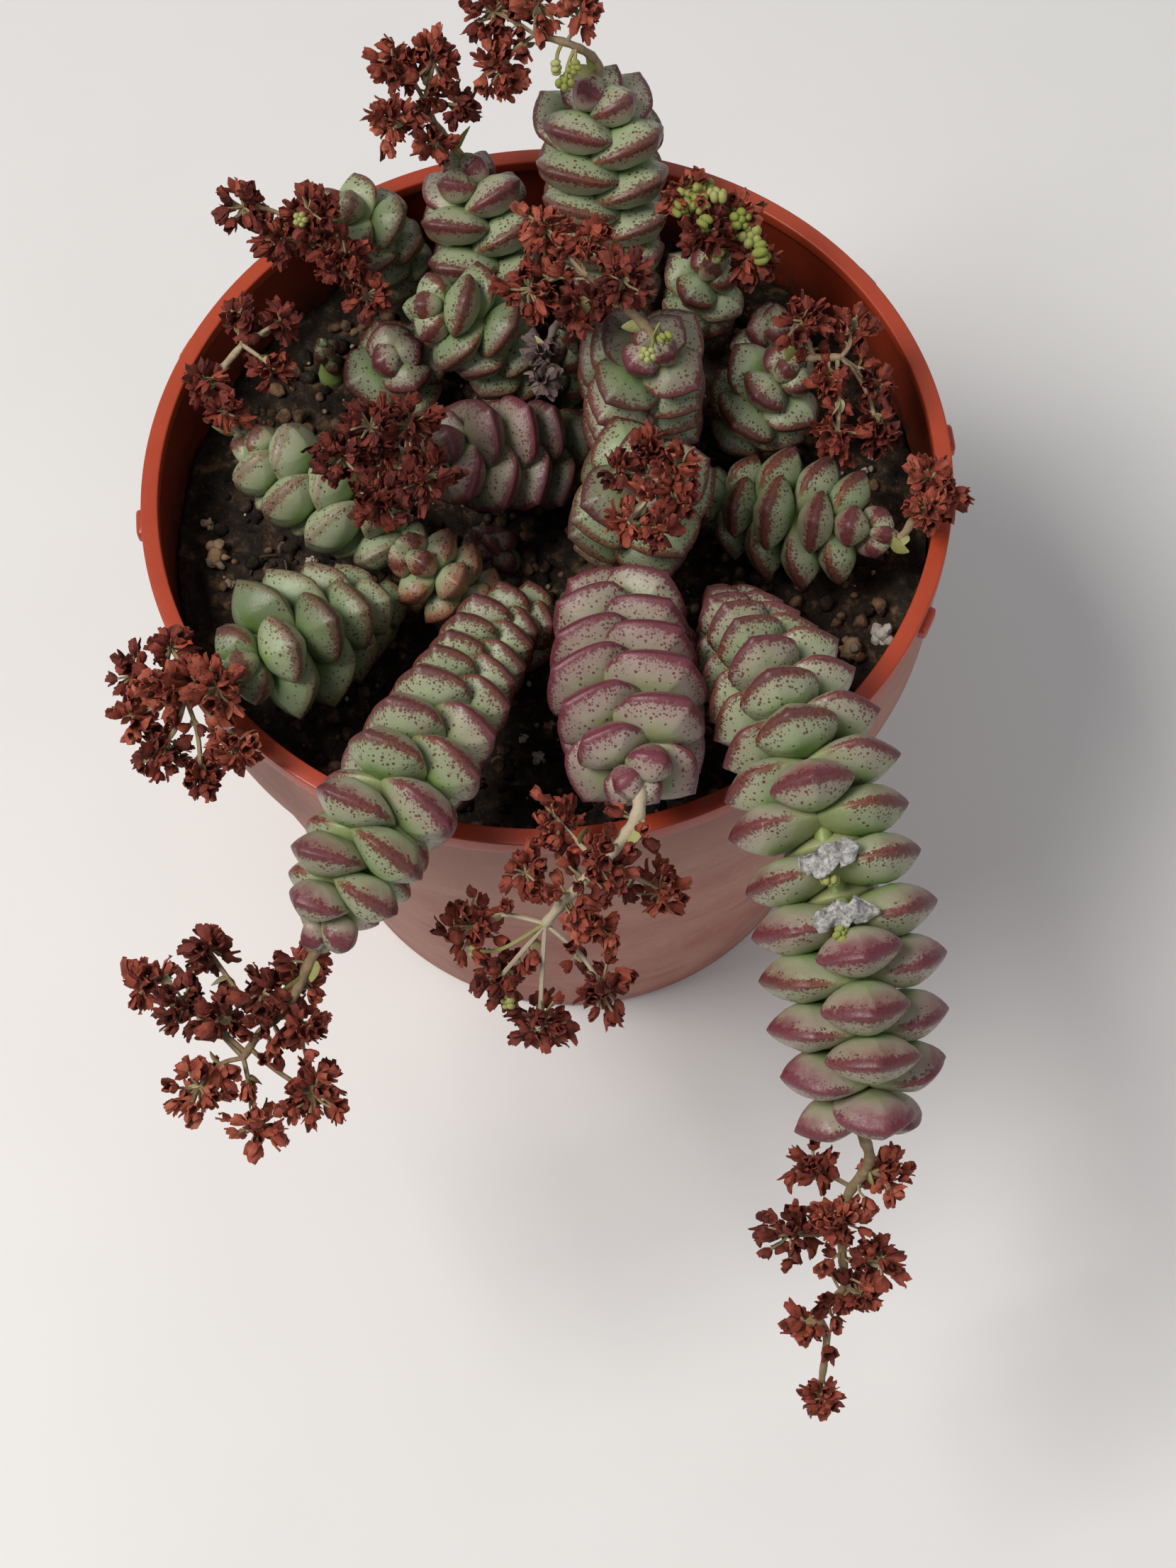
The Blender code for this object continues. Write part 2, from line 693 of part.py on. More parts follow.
def make_pot(collection, cutters, material):
    """The pot: a turned shell with lugs under the lip and drain holes through the floor."""
    pot = turned("pot", pot_profile(), collection, POT_SIDES)
    pot.data.materials.append(material)
    lugs = bpy.data.collections.new("pot_lugs")
    bpy.context.scene.collection.children.link(lugs)
    depth, _, height = LUG_SIZE
    for k in range(LUG_COUNT):
        angle = math.radians(LUG_START_DEG) + 2 * math.pi * k / LUG_COUNT
        mesh = bpy.data.meshes.new(f"lug_{k}")
        shell = bmesh.new()
        bmesh.ops.create_cube(shell, size=1.0)
        bmesh.ops.scale(shell, vec=Vector(LUG_SIZE) * MM, verts=shell.verts)
        shell.to_mesh(mesh)
        shell.free()
        lug = make_object(f"lug_{k}", mesh, lugs)
        reach = RIM_RADIUS + LUG_PROUD - depth / 2
        lug.location = Vector((reach * math.cos(angle), reach * math.sin(angle),
                               POT_HEIGHT - LUG_DROP - height / 2)) * MM
        lug.rotation_euler = (0, 0, angle)
    union_with(pot, lugs, "EXACT")
    for k in range(DRAIN_COUNT):
        angle = math.radians(DRAIN_START_DEG) + 2 * math.pi * k / DRAIN_COUNT
        place = (DRAIN_CIRCLE * math.cos(angle), DRAIN_CIRCLE * math.sin(angle), FLOOR / 2)
        cut_hole(pot, f"drain_{k}", place, DRAIN_RADIUS, 3 * FLOOR, DRAIN_SIDES, cutters)
    apply_modifiers(pot)
    return pot


def cut_hole(body, name, centre, radius, depth, sides, cutters):
    """Cut a plain upright hole with a cylinder kept among the cutters."""
    mesh = bpy.data.meshes.new(name)
    shell = bmesh.new()
    bmesh.ops.create_cone(shell, cap_ends=True, segments=sides, radius1=radius * MM,
                          radius2=radius * MM, depth=depth * MM)
    shell.to_mesh(mesh)
    shell.free()
    cutter = make_object(name, mesh, cutters)
    cutter.location = Vector(centre) * MM
    cutter.hide_render = True
    cutter.display_type = "WIRE"
    modifier = body.modifiers.new(name, "BOOLEAN")
    modifier.operation = "DIFFERENCE"
    modifier.object = cutter
    modifier.solver = "EXACT"


def soil_profile():
    top = SOIL_TOP
    skirt_foot = POT_HEIGHT - SKIRT_DROP
    below = skirt_foot - SKIRT_STEP
    inset = CLEARANCE + WALL
    rings = [(SOIL_RADIUS * k / SOIL_RINGS, top) for k in range(SOIL_RINGS)]
    return rings + [
        (outer_radius(top) - inset, top),
        (outer_radius(skirt_foot) - inset, skirt_foot + SKIRT_STEP),
        (outer_radius(below) - inset, below),
        (outer_radius(FLOOR) - inset - CLEARANCE, FLOOR + CLEARANCE),
        (0.0, FLOOR + CLEARANCE),
    ]


def make_soil(collection, cutters, material):
    """The soil that fills the pot, lumpy on top, with a plain hole for each stem."""
    soil = turned("soil", soil_profile(), collection, POT_SIDES)
    for vertex in soil.data.vertices:
        place = vertex.co / MM
        radius = math.hypot(place.x, place.y)
        if place.z > SOIL_TOP - 0.01 and radius < SOIL_RADIUS:
            lump = noise.noise(Vector((place.x, place.y, 0)) / SOIL_LUMP_SPACING)
            vertex.co.z += SOIL_LUMP * lump * MM
    soil.data.materials.append(material)
    for name, stem in STEMS.items():
        x, y = stem["route"][0][:2]
        cut_hole(soil, f"hole_{name}", (x, y, SOIL_TOP), ROOT_RADIUS + HOLE_GAP,
                 2 * (ROOT_DEPTH + CLEARANCE), HOLE_SIDES, cutters)
    apply_modifiers(soil)
    return soil


def smooth_sides(obj):
    obj.data.shade_smooth()
    obj.data.set_sharp_from_angle(angle=math.radians(SHARP_DEG))


def main():
    remove_everything()
    parts = make_collection("potted_crassula")
    cutters = make_collection("cutters")
    leaf = make_material("leaf", (0.30, 0.36, 0.24), 0.55)
    floret = make_material("dried_floret", (0.22, 0.035, 0.02), 0.8)
    plastic = make_material("pot_plastic", (0.40, 0.13, 0.08), 0.6)
    peat = make_material("soil", (0.03, 0.02, 0.015), 0.95)
    smooth_sides(make_pot(parts, cutters, plastic))
    make_soil(parts, cutters, peat)
    for name, stem in STEMS.items():
        make_stem(name, stem, parts, leaf)
    for name, head in FLOWERS.items():
        make_flowers(name, head, parts, floret)


main()
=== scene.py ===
"""Looks of the potted crassula: leaves, dried flower heads, soil, pot, floor, light and camera.

Lengths are in millimetres unless a name says otherwise; meshes are made in metres.
+Z is up, the origin is the centre of the pot's base, -Y is the front.
A grid in a name is the number of points round a shell and of its rows.
"""

import math
from functools import cache
from typing import NamedTuple

import bmesh
import bpy
import numpy as np
from mathutils import Matrix, Vector, noise


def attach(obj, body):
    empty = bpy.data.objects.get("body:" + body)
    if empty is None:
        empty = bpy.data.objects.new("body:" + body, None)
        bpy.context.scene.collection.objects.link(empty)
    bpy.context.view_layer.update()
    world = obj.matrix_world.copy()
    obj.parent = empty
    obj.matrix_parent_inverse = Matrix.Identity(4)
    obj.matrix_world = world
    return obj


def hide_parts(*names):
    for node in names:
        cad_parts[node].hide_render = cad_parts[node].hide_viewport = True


MM = 0.001

# How far a tube's end stands out, as a share of its radius
TUBE_BULGE = 0.4

# Random turns are drawn from 0 to this, in radians
FULL_TURN = 6.28

# Blender's own noise by vectors starts from the clock unless it is given a seed
NOISE_SEED = 5

# Pot
POT_HEIGHT = 107.0
RIM_RADIUS = 60.0
BASE_RADIUS = 44.5
WALL = 1.6
FLOOR = 2.0
LIP_WIDTH = 2.6
LIP_DROP = 3.0
LIP_SLOPE = 0.8
LIP_STEP = 0.4
SKIRT_DROP = 22.0
SKIRT_STEP = 1.0
SKIRT_TAPER = 1.0
SKIRT_FOOT = POT_HEIGHT - SKIRT_DROP
BODY_TOP = RIM_RADIUS - SKIRT_TAPER - SKIRT_STEP
FOOT_HEIGHT = 1.0
POT_SIDES = 192
EDGE_ROUND = 0.35
LUG_COUNT = 12
LUG_START_DEG = 1.3
LUG_SIZE = (2.4, 4.6, 2.4)
LUG_PROUD = 1.0
LUG_DROP = 1.6
LUG_GRID = (24, 8)
DRAIN_COUNT = 6
DRAIN_START_DEG = 20.0
DRAIN_RADIUS = 4.0
DRAIN_CIRCLE = 30.0
DRAIN_SIDES = 32

# Soil and the loose grains on it; each pumice grain is (x, y, half its size, whiteness)
SOIL_TOP = 91.0
SOIL_SIDES = 224
SOIL_RINGS = 84
SOIL_SHOULDER = SOIL_TOP - 5.0
CLEARANCE = 0.4
CRUMB_COUNT = 1200
SPECK_COUNT = 220
FIBRE_COUNT = 40
GRAIN_REACH = 52.0
FIBRE_REACH = 50.0
GRAIN_SEED = 7
PUMICE_LUMPS = 9
PUMICE = [
    (-51, -0.5, 2.7, 0.0), (-52.5, 6, 1.3, 0.1), (-49.5, -5, 1.2, 0.05), (43, -25.5, 2.3, 0.0),
    (48, -23.5, 2.2, 0.9), (-2.5, -34.5, 1.4, 0.0), (-4.5, -39, 1.3, 0.95), (-6.5, -36, 0.9, 0.9),
    (-37, -2, 0.9, 0.8), (50.5, 8.5, 1.0, 0.9), (49, 5.5, 0.8, 0.8),
]

# Leafy stems; LEAF_UPPER and LEAF_UNDER are a face's height and the powers that round it
ROOT_DEPTH = 7.0
ROOT_RADIUS = 2.2
BARE_LENGTH = 1.5
CORE_RADIUS = 1.3
CORE_SIDES = 12
SPINE_STEPS = 24
LEVEL_STEPS = 120
PITCH_SHARE = 0.36
PITCH_LEAST = 2.7
TIP_SHARE = 0.4
TIP_GROWTH = 0.25
TIP_LIFTS_DEG = (22.0, 8.0)
LEAF_LIFT_DEG = (14, 14)
LEAF_MIDDLE = 0.57
LEAF_WIDTH = 0.51
LEAF_BACK = 0.14
LEAF_FRONT_POWER = 1.45
LEAF_BACK_POWER = 2.0
LEAF_UPPER = (0.98, 1.75, 0.86)
LEAF_UNDER = (1.0, 2.1, 0.78)
LEAF_POINT = 0.03
LEAF_POINT_RAD = 0.16
LARGE_LEAF = 7
LARGE_LEAF_GRID = (28, 12)
SMALL_LEAF_GRID = (20, 10)

# Leaves that have dried to crumpled paper: stem, pair and side of the pair
DRIED_LEAVES = [("stem_front_trailing", 23, 1), ("stem_front_trailing", 25, 0)]
DRIED_SIZE = (8.0, 3.4, 0.9)
DRIED_GRID = (20, 22)

# Dried flower heads
FLORET_LENGTH = 2.8
FLORET_SIZE = (0.62, 0.95)
FLORET_CRUMPLE = 0.1
FLORET_OPENNESS = (0.05, 0.2, 0.35, 0.5, 0.7, 0.1, 0.4, 1.0)
FLORETS_PER_AREA = 1.9
FLORETS_LEAST = 8
PETALS = 5
CREASE_DEG = 40.0
STALK_RADIUS = 0.7
STALK_START = 1.5
STALK_SINK = 2.0
STALK_SIDES = 10
STALK_STEPS = 8
STALK_FRESH = 0.1
STALK_BRACTS = (0.22, 0.34)
BRANCH_RADIUS = 0.34
BRANCH_SIDES = 6
BRACT_GRID = (8, 7)
BRANCH_FLORETS = 5
BRANCH_BRACTS = 2
THREAD_RADIUS = 0.2
THREAD_SIDES = 4
BUD_STALK_RADIUS = 0.28
BUD_STALK_LONGEST = 12.0
BUD_GRID = (10, 6)
GOLDEN_RAD = 2.399963
FIRST_HEAD_SEED = 100

# Camera
CAMERA_PLACE = (2.397, -201.213, 426.026)
CAMERA_TILT_DEG = 64.812
CAMERA_ROLL_DEG = -4.915
CAMERA_LENS = 58.22
CAMERA_SENSOR = 36.0
CAMERA_NEAR_M = 0.01

# Lights: name, place and size in metres, power in watts, colour
LIGHTS = [
    ("key", (-0.42, -0.12, 0.85), 0.36, 6.9, (1.0, 0.97, 0.93)),
    ("fill", (0.6, -0.7, 0.6), 0.9, 1.7, (0.95, 0.97, 1.0)),
    ("back", (0.3, 0.9, 0.7), 0.8, 0.9, (1.0, 1.0, 1.0)),
]
WORLD_COLOUR = (0.95, 0.97, 1.0, 1.0)
WORLD_STRENGTH = 0.25
FLOOR_HALF_M = 4.0


class StemForm(NamedTuple):
    """A leafy stem: its route as (x, y, z, reach of the leaves), the turn of its first pair in degrees, and
    from 0 to 1 how flushed with purple, how light and how orange (blush) its leaves are; on stems that lie
    in shade a low light is partly painted shade. lift is how far they stand up at its foot and its tip in
    degrees, pitch the step between pairs as a share of the reach, twist how far the pairs turn along the
    stem in degrees, and tip the share of the reach that is left at its tip."""

    route: list
    turn: float
    flush: float
    light: float = 0.5
    breadth: float = 1.0
    size: float = 1.0
    lift: tuple = LEAF_LIFT_DEG
    blush: float = 0.0
    pitch: float = PITCH_SHARE
    twist: float = 0.0
    tip: float = TIP_SHARE


class HeadForm(NamedTuple):
    """A flower head: the stem that carries it, its stalk's way on from that stem's tip, its knots of florets
    as (x, y, z, reach) and its live green buds as (x, y, z, radius). extra is the number of florets along
    the stalk. size and tone are those of the knots, where a low tone is partly painted shade on a head that
    lies in shade, pale runs from a tan stalk to a cream one, and grey is how weathered the head is."""

    stem: str
    stalk: list
    knots: list
    buds: tuple = ()
    extra: int = 0
    size: float = 1.0
    tone: float = 1.0
    pale: float = 0.5
    grey: float = 0.0


STEMS = {
    "stem_tall_back": StemForm([
        (13, 35.5, 91, 4), (13, 36, 97, 8.5), (12.8, 39.5, 109, 11.4), (12.5, 46, 125, 12),
        (12.6, 48.5, 132, 10.5)], 45, 0.5, 1.0, size=1.03, lift=(22, 24), pitch=0.27),
    "stem_back_left": StemForm([
        (-5, 34, 91, 4), (-5, 34.5, 97, 7.5), (-6.5, 39, 108, 10.4), (-8, 46, 120, 9.5)],
        52, 0.5, 0.85, size=1.06, lift=(22, 24), pitch=0.3),
    "stem_left_back": StemForm([
        (-19, 45, 91, 3), (-19.5, 44.8, 98, 4.8), (-21.8, 44.4, 106, 6), (-25, 44.2, 112, 6.8),
        (-29.2, 44.5, 116, 6)], 78, 0.2, 0.6, 1.1, 1.25),
    "stem_left_rosette": StemForm([
        (-21, 28.5, 91, 3.5), (-21.5, 27.5, 96, 6.2), (-21, 25.5, 103, 6.6)],
        20, 0.5, 0.5, 1.1, 1.6, (18, 24), pitch=0.3),
    "stem_left_inner": StemForm([
        (-4, 22.5, 91, 3), (-4, 22, 98, 5), (-4.8, 22, 105, 6.3), (-7.5, 22.8, 112, 7),
        (-12, 23.6, 116, 7.2), (-16, 23.4, 118, 6.4)], 60, 0.3, 0.5, 1.1, 1.25, (14, 16)),
    "stem_pale_tip": StemForm([(4.5, 23, 91, 3), (4.5, 23, 97, 3.5), (4.5, 24.5, 107, 4.5)], 45, 0.3),
    # Low light: partly the leaves' deep purple, partly painted shade.
    "stem_purple_left": StemForm([
        (3, 8.5, 91, 4), (1.5, 8, 98, 9), (-6.5, 4.5, 106, 10.5), (-16.5, 1, 113, 8)],
        23, 0.86, 0.1, pitch=0.25),
    "stem_left_green": StemForm([
        (-22, -4, 91, 3.5), (-24.5, -3, 98, 8), (-33.5, 2, 103, 9.6), (-43.5, 10, 106, 7)],
        80, 0.15, 0.8, 1.12, 1.05, (27, 27)),
    # Light below the middle: partly painted shade.
    "stem_left_low": StemForm([
        (-26, -14.5, 91, 4), (-29, -17.5, 101, 8.5), (-36.5, -26, 110, 11), (-45, -33, 116, 9)],
        10, 0.25, 0.4, pitch=0.3),
    "stem_thin_chain": StemForm([
        (-10, -15, 91, 2.5), (-11, -15.2, 97, 3.6), (-15.5, -14.6, 103, 5), (-21, -12.8, 109, 5)],
        45, 0.22, 0.8, 0.88, 1.45, blush=0.8),
    "stem_front_left": StemForm([
        (-1, -19, 91, 4), (-3, -20, 97, 7), (-9, -25, 104, 8), (-13, -34, 110, 8.8),
        (-17.5, -45.5, 117, 10.5), (-23, -56, 120.5, 11.5), (-28, -63.5, 120, 10.8), (-31.5, -70, 118, 9),
        (-34.5, -74, 115, 7)], 77, 0.6, 0.8, lift=(20, 8), pitch=0.3),
    "stem_front_arch": StemForm([
        (11.5, -22, 91, 5), (11, -23.5, 101, 8.5), (9.5, -28.5, 109, 12), (9, -39.5, 115, 12.6),
        (9, -50, 119.5, 12), (9, -59, 122, 8)], 45, 1.0, 0.7, 1.08, lift=(17, 14), pitch=0.26),
    # Low light: partly the leaves' purple-brown, partly painted shade.
    "stem_centre": StemForm([
        (12, -5, 91, 4), (12, -6, 98, 10), (13, -8, 108, 12), (15, -11, 122, 11)],
        20, 0.48, 0.3, pitch=0.26),
    "stem_centre_back": StemForm([
        (14, 13.5, 91, 4), (14.5, 13, 98, 9), (15, 11, 108, 11.6), (17, 6.5, 128, 9)],
        45, 0.58, 0.35, lift=(16, 20), pitch=0.26),
    "stem_right_back": StemForm([
        (26, 32, 91, 3), (26, 31, 97, 5), (26, 30.5, 105, 6.5), (28.5, 30, 114, 5.5)],
        45, 0.42, 0.75, 1.1, 1.15, (14, 18)),
    "stem_right_cluster": StemForm([
        (31, 11, 91, 3), (31.5, 11, 97, 7), (33.5, 11, 104, 9), (37.5, 11, 113, 6)],
        45, 0.38, 0.9, 1.1, 1.05, (16, 20)),
    "stem_right_upper": StemForm([
        (36, 25, 91, 2.5), (36, 24.8, 97, 5), (37, 24, 105, 5.8)], 0, 0.5, 0.6, 1.05, 1.3, (14, 18)),
    "stem_right_low": StemForm([
        (25, 0, 91, 3), (26, -1.5, 97, 7), (36, -8, 102, 10.5), (49, -15, 106, 5)],
        -6, 0.5, 0.75, pitch=0.3),
    "stem_front_trailing": StemForm([
        (25, -17, 91, 3), (25, -25, 105, 5.5), (26, -34, 113, 8.5), (29.5, -47, 121, 10.5),
        (31.5, -59.5, 124, 11.5), (32.5, -69.5, 122.5, 11.8), (34, -79, 119.5, 12), (35, -87, 115, 12),
        (35, -95, 109.5, 11.8), (34.5, -101, 103.5, 9.5)],
        45, 0.7, 0.95, lift=(17, -9), pitch=0.29, twist=-45, tip=0.85),
    "stem_small_dark": StemForm([(-7, -5, 91, 2), (-8, -6, 96, 4), (-10, -7, 104, 3)], 20, 0.9, 0.0),
    "plantlet_left": StemForm([(-32.5, 32, 91, 2), (-32.5, 32, 95, 3.5), (-32.5, 31, 100, 3.5)], 30, 0.2),
}

FLOWERS = {
    "flowers_tall_back": HeadForm(
        "stem_tall_back", [(12.5, 49.5, 138), (9, 48.5, 143), (4, 49.5, 144.5)],
        [(-1.5, 54, 145, 4), (-1, 47, 141, 4), (4.5, 52, 148, 3.5), (11, 50, 149, 2.5)],
        [(7.8, 44.4, 140, 1.5), (9.2, 45.6, 141.4, 1.2), (6.6, 46, 141.4, 1.2)]),
    "flowers_back_left": HeadForm(
        "stem_back_left", [(-12, 50, 127), (-13, 50, 132)],
        [(-17, 53, 137, 3.5), (-11, 53, 137, 4), (-18, 47, 132, 3.5), (-8, 48.5, 132, 3),
         (-12, 44.5, 129, 2.5)]),
    "flowers_left_back": HeadForm(
        "stem_left_back", [(-32, 42.5, 120), (-35.5, 38.5, 123)],
        [(-41, 39, 125, 3.5), (-36, 35, 122, 3.5), (-31, 36, 126, 4), (-27, 31, 121, 4),
         (-24, 26, 118.5, 3)], [(-32.3, 33.5, 128, 1.2)]),
    "flowers_left": HeadForm(
        "stem_left_green", [(-46.5, 14, 108), (-48, 18, 111), (-43, 21, 116)],
        [(-49, 17, 113, 3), (-46, 11.5, 113, 3), (-37, 23, 118, 3), (-39, 17, 115, 3), (-43, 25, 118, 3)],
        size=0.85, tone=0.5, pale=0.7),
    # Low tone: partly darker red florets, partly painted shade.
    "flowers_purple_left": HeadForm(
        "stem_purple_left", [(-21.5, -1, 118), (-23.5, -5, 123)],
        [(-28, -5, 124, 4), (-18.5, -3, 127, 4), (-23.5, -12, 123, 4), (-16.5, -10, 125, 4),
         (-23.5, -4, 129, 3.5)], tone=0.1),
    "flowers_left_low": HeadForm(
        "stem_left_low", [(-49, -36, 118), (-52, -37, 116)],
        [(-54, -29, 116, 3), (-47, -38, 120, 3.5), (-60, -37, 112, 3.5), (-60, -31, 113, 3),
         (-46, -43, 113, 3.5), (-51, -46, 110, 3), (-57, -42, 110, 3.5), (-54, -37, 119, 3.5)], extra=8),
    "flowers_front_left": HeadForm(
        "stem_front_left", [(-37, -77, 112), (-40, -81, 109), (-44, -83, 106), (-47, -85.5, 103)],
        [(-38, -77, 109.5, 3.5), (-50.5, -72, 109, 3), (-60, -74, 104, 3), (-54.5, -78, 105, 3.5),
         (-49, -81, 107, 3), (-43, -80, 112, 3), (-38, -84, 108, 3), (-38, -91, 102, 4),
         (-53.5, -88, 100, 4), (-46, -93.5, 97, 3.5)], extra=16, pale=0.3),
    "flowers_front_arch": HeadForm(
        "stem_front_arch", [(8, -64, 121), (3, -67.5, 116), (-2, -70, 111), (-5, -71.5, 107)],
        [(-2, -61, 117, 3.5), (4, -68, 115, 3.5), (-7, -66, 112, 3), (11, -69, 109, 3.5),
         (2, -73, 108, 3), (-15, -70, 105, 4), (-12, -76, 100, 3.5), (-7, -82, 97, 4), (2, -79, 101, 4)],
        [(-15, -73, 103, 1.1), (-11, -79.7, 100, 1.1)], extra=40, pale=0.95),
    "flowers_centre": HeadForm(
        "stem_centre", [(15, -14, 128), (15, -18, 132)],
        [(10.4, -17.7, 134, 3.4), (14.1, -15.4, 135, 3.4), (18, -17.3, 133.4, 3.4),
         (18.4, -22, 132, 3.4), (14.8, -25.3, 130.8, 3.4), (10.4, -23.9, 130.8, 3.4)], size=0.76, pale=0.95),
    "flowers_centre_back": HeadForm(
        "stem_centre_back", [(15, 8, 132), (11, 11, 135), (8, 12, 138)],
        [(3, 18, 141, 3.5), (9, 16, 140, 3.5), (0.5, 12, 136, 3.5), (7, 9, 135, 3.5), (13, 10, 139, 4)],
        [(18.4, 3.9, 133, 1.1), (15.7, 1.2, 133, 1.3)]),
    "flowers_right_back": HeadForm(
        "stem_right_back", [(27, 28, 120)],
        [(26, 27, 125, 3.5), (31, 31, 124, 3), (24, 33, 127, 3.5), (33, 26, 120, 3)],
        [(24.7, 32.4, 128, 2.1), (26.6, 33.6, 127.4, 1.8), (23.4, 30.4, 127.2, 1.8), (25.8, 30.2, 128, 1.7),
         (32.9, 26.7, 124, 1.8), (28.4, 31.2, 128.4, 1.6), (31.6, 28.3, 126, 1.7), (34.2, 24.6, 122.6, 1.9),
         (27.4, 25.0, 123, 1.6), (26, 27, 127.4, 1.5)]),
    "flowers_right_cluster": HeadForm(
        "stem_right_cluster", [(40, 8, 119), (44, 7, 120)],
        [(39, 11, 124, 4), (46, 10, 122, 3.5), (42, 4, 118, 3), (43, -1, 113, 3.5), (49, 5, 116, 3),
         (49, -1, 112, 3)], size=0.9),
    "flowers_right_low": HeadForm(
        "stem_right_low", [(53, -14, 111)],
        [(54.8, -10.8, 114, 2.8), (57.4, -13.2, 113.2, 2.8), (54.2, -15.4, 113.5, 2.6)]),
    "flowers_trailing": HeadForm(
        "stem_front_trailing", [(35.5, -105.5, 97), (32.5, -108.5, 91), (31.5, -114, 85), (31.5, -118, 80),
                                (28, -120.5, 76), (29, -122.5, 72), (28, -127.5, 66)],
        [(37.5, -107, 95, 3), (28, -105, 94, 3), (31, -111, 89, 3.4), (24.5, -112, 88, 3.4),
         (36.5, -116, 85, 3), (33.5, -119, 80, 3), (26, -121, 74, 2.4), (28, -129.5, 64, 2.4)],
        [(32.2, -76.6, 126, 1.3), (32.8, -84, 125.6, 1.2)], extra=16, pale=0.35),
    "flowers_pale_tip": HeadForm(
        "stem_pale_tip", [(3, 21, 113), (2, 16, 114)], [(1.5, 16.5, 115, 3), (1, 11, 115, 3)],
        size=0.62, grey=0.85),
}


def unit(vectors):
    return vectors / np.maximum(np.linalg.norm(vectors, axis=-1, keepdims=True), 1e-9)


def across(vectors, tangents):
    """Vectors made square to tangents, and of length one."""
    return unit(vectors - tangents * np.sum(vectors * tangents, axis=-1, keepdims=True))


def circle(count):
    """Angles spread evenly round a full turn."""
    return 2 * math.pi * np.arange(count) / count


def rings_about_z(radii, heights, count):
    """Rings of points round the z axis, with a radius and a height for each ring or each point."""
    angles = circle(count)
    return np.stack([radii * np.cos(angles), radii * np.sin(angles), heights + 0 * angles], -1)


def signed_power(values, power):
    return np.sign(values) * np.abs(values) ** power


def smooth_line(controls, steps):
    """Catmull-Rom through control values, all columns alike."""
    controls = np.asarray(controls, float)
    padded = np.vstack([controls[:1], controls, controls[-1:]])
    t = np.arange(steps)[:, None] / steps
    spans = []
    for p0, p1, p2, p3 in zip(padded, padded[1:], padded[2:], padded[3:]):
        spans.append(0.5 * (2 * p1 + (p2 - p0) * t + (2 * p0 - 5 * p1 + 4 * p2 - p3) * t * t
                            + (3 * p1 - p0 - 3 * p2 + p3) * t ** 3))
    return np.vstack([*spans, controls[-1:]])


class Track:
    """A route with a side carried along it, read by its length."""

    def __init__(self, points, turn=0.0, twist=0.0):
        self.points = points
        steps = np.linalg.norm(np.diff(points, axis=0), axis=1)
        self.lengths = np.concatenate([[0.0], np.cumsum(steps)])
        self.length = self.lengths[-1]
        after = np.vstack([points[1:], points[-1:]])
        before = np.vstack([points[:1], points[:-1]])
        self.tangents = unit(after - before)
        angle = math.radians(turn)
        side = np.array([math.cos(angle), math.sin(angle), 0.0])
        if abs(side @ self.tangents[0]) > 0.9:
            side = np.array([0.0, 0.0, 1.0])
        sides = []
        for tangent in self.tangents:
            side = across(side, tangent)
            sides.append(side)
        self.sides = np.array(sides)
        others = np.cross(self.tangents, self.sides)
        turned = np.radians(twist) * self.lengths[:, None] / self.length
        self.sides = self.sides * np.cos(turned) + others * np.sin(turned)

    def at(self, distance):
        """Centre, side, other side and tangent at each distance, straight on past the ends."""
        inside = np.clip(distance, 0.0, self.length)

        def read(values):
            return np.stack([np.interp(inside, self.lengths, values[:, k]) for k in range(3)], -1)

        tangent = unit(read(self.tangents))
        centre = read(self.points) + tangent * np.asarray(distance - inside)[..., None]
        side = across(read(self.sides), tangent)
        return centre, side, np.cross(tangent, side), tangent


class Stem(Track):
    """A leafy stem's track, with the levels of its leaf pairs and their reach."""

    def __init__(self, form):
        self.form = form
        x, y, _, reach = form.route[0]
        foot = (x, y, SOIL_TOP - ROOT_DEPTH, reach)
        samples = smooth_line([foot, *form.route], SPINE_STEPS)
        super().__init__(samples[:, :3], form.turn, form.twist)
        self.reaches = samples[:, 3]
        start = ROOT_DEPTH + BARE_LENGTH
        self.distances = np.linspace(start, self.length, LEVEL_STEPS + 1)
        middles = (self.distances[1:] + self.distances[:-1]) / 2
        pitches = np.maximum(PITCH_LEAST, form.pitch * np.interp(middles, self.lengths, self.reaches))
        levels = np.concatenate([[0.0], np.cumsum(np.diff(self.distances) / pitches)])
        self.pairs = max(3, round(levels[-1]))
        self.levels = levels * self.pairs / levels[-1]

    def distance(self, level):
        return np.interp(level, self.levels, self.distances)

    def reach(self, level):
        taper = min(1.0, self.form.tip + TIP_GROWTH * (self.pairs - level))
        return taper * np.interp(self.distance(level), self.lengths, self.reaches)

    def pitch(self, level):
        low, high = max(level - 0.5, 0.0), min(level + 0.5, self.pairs)
        return (self.distance(high) - self.distance(low)) / (high - low)


@cache
def ring_faces(rows, around):
    """Faces of a stack of rings closed by a point at each end; the two points come last."""
    faces = []
    for row in range(rows - 1):
        for k in range(around):
            a = row * around + k
            b = row * around + (k + 1) % around
            faces.append((a, b, b + around, a + around))
    first, last, top = rows * around, rows * around + 1, (rows - 1) * around
    for k in range(around):
        after = (k + 1) % around
        faces.append((first, after, k))
        faces.append((last, top + k, top + after))
    return faces


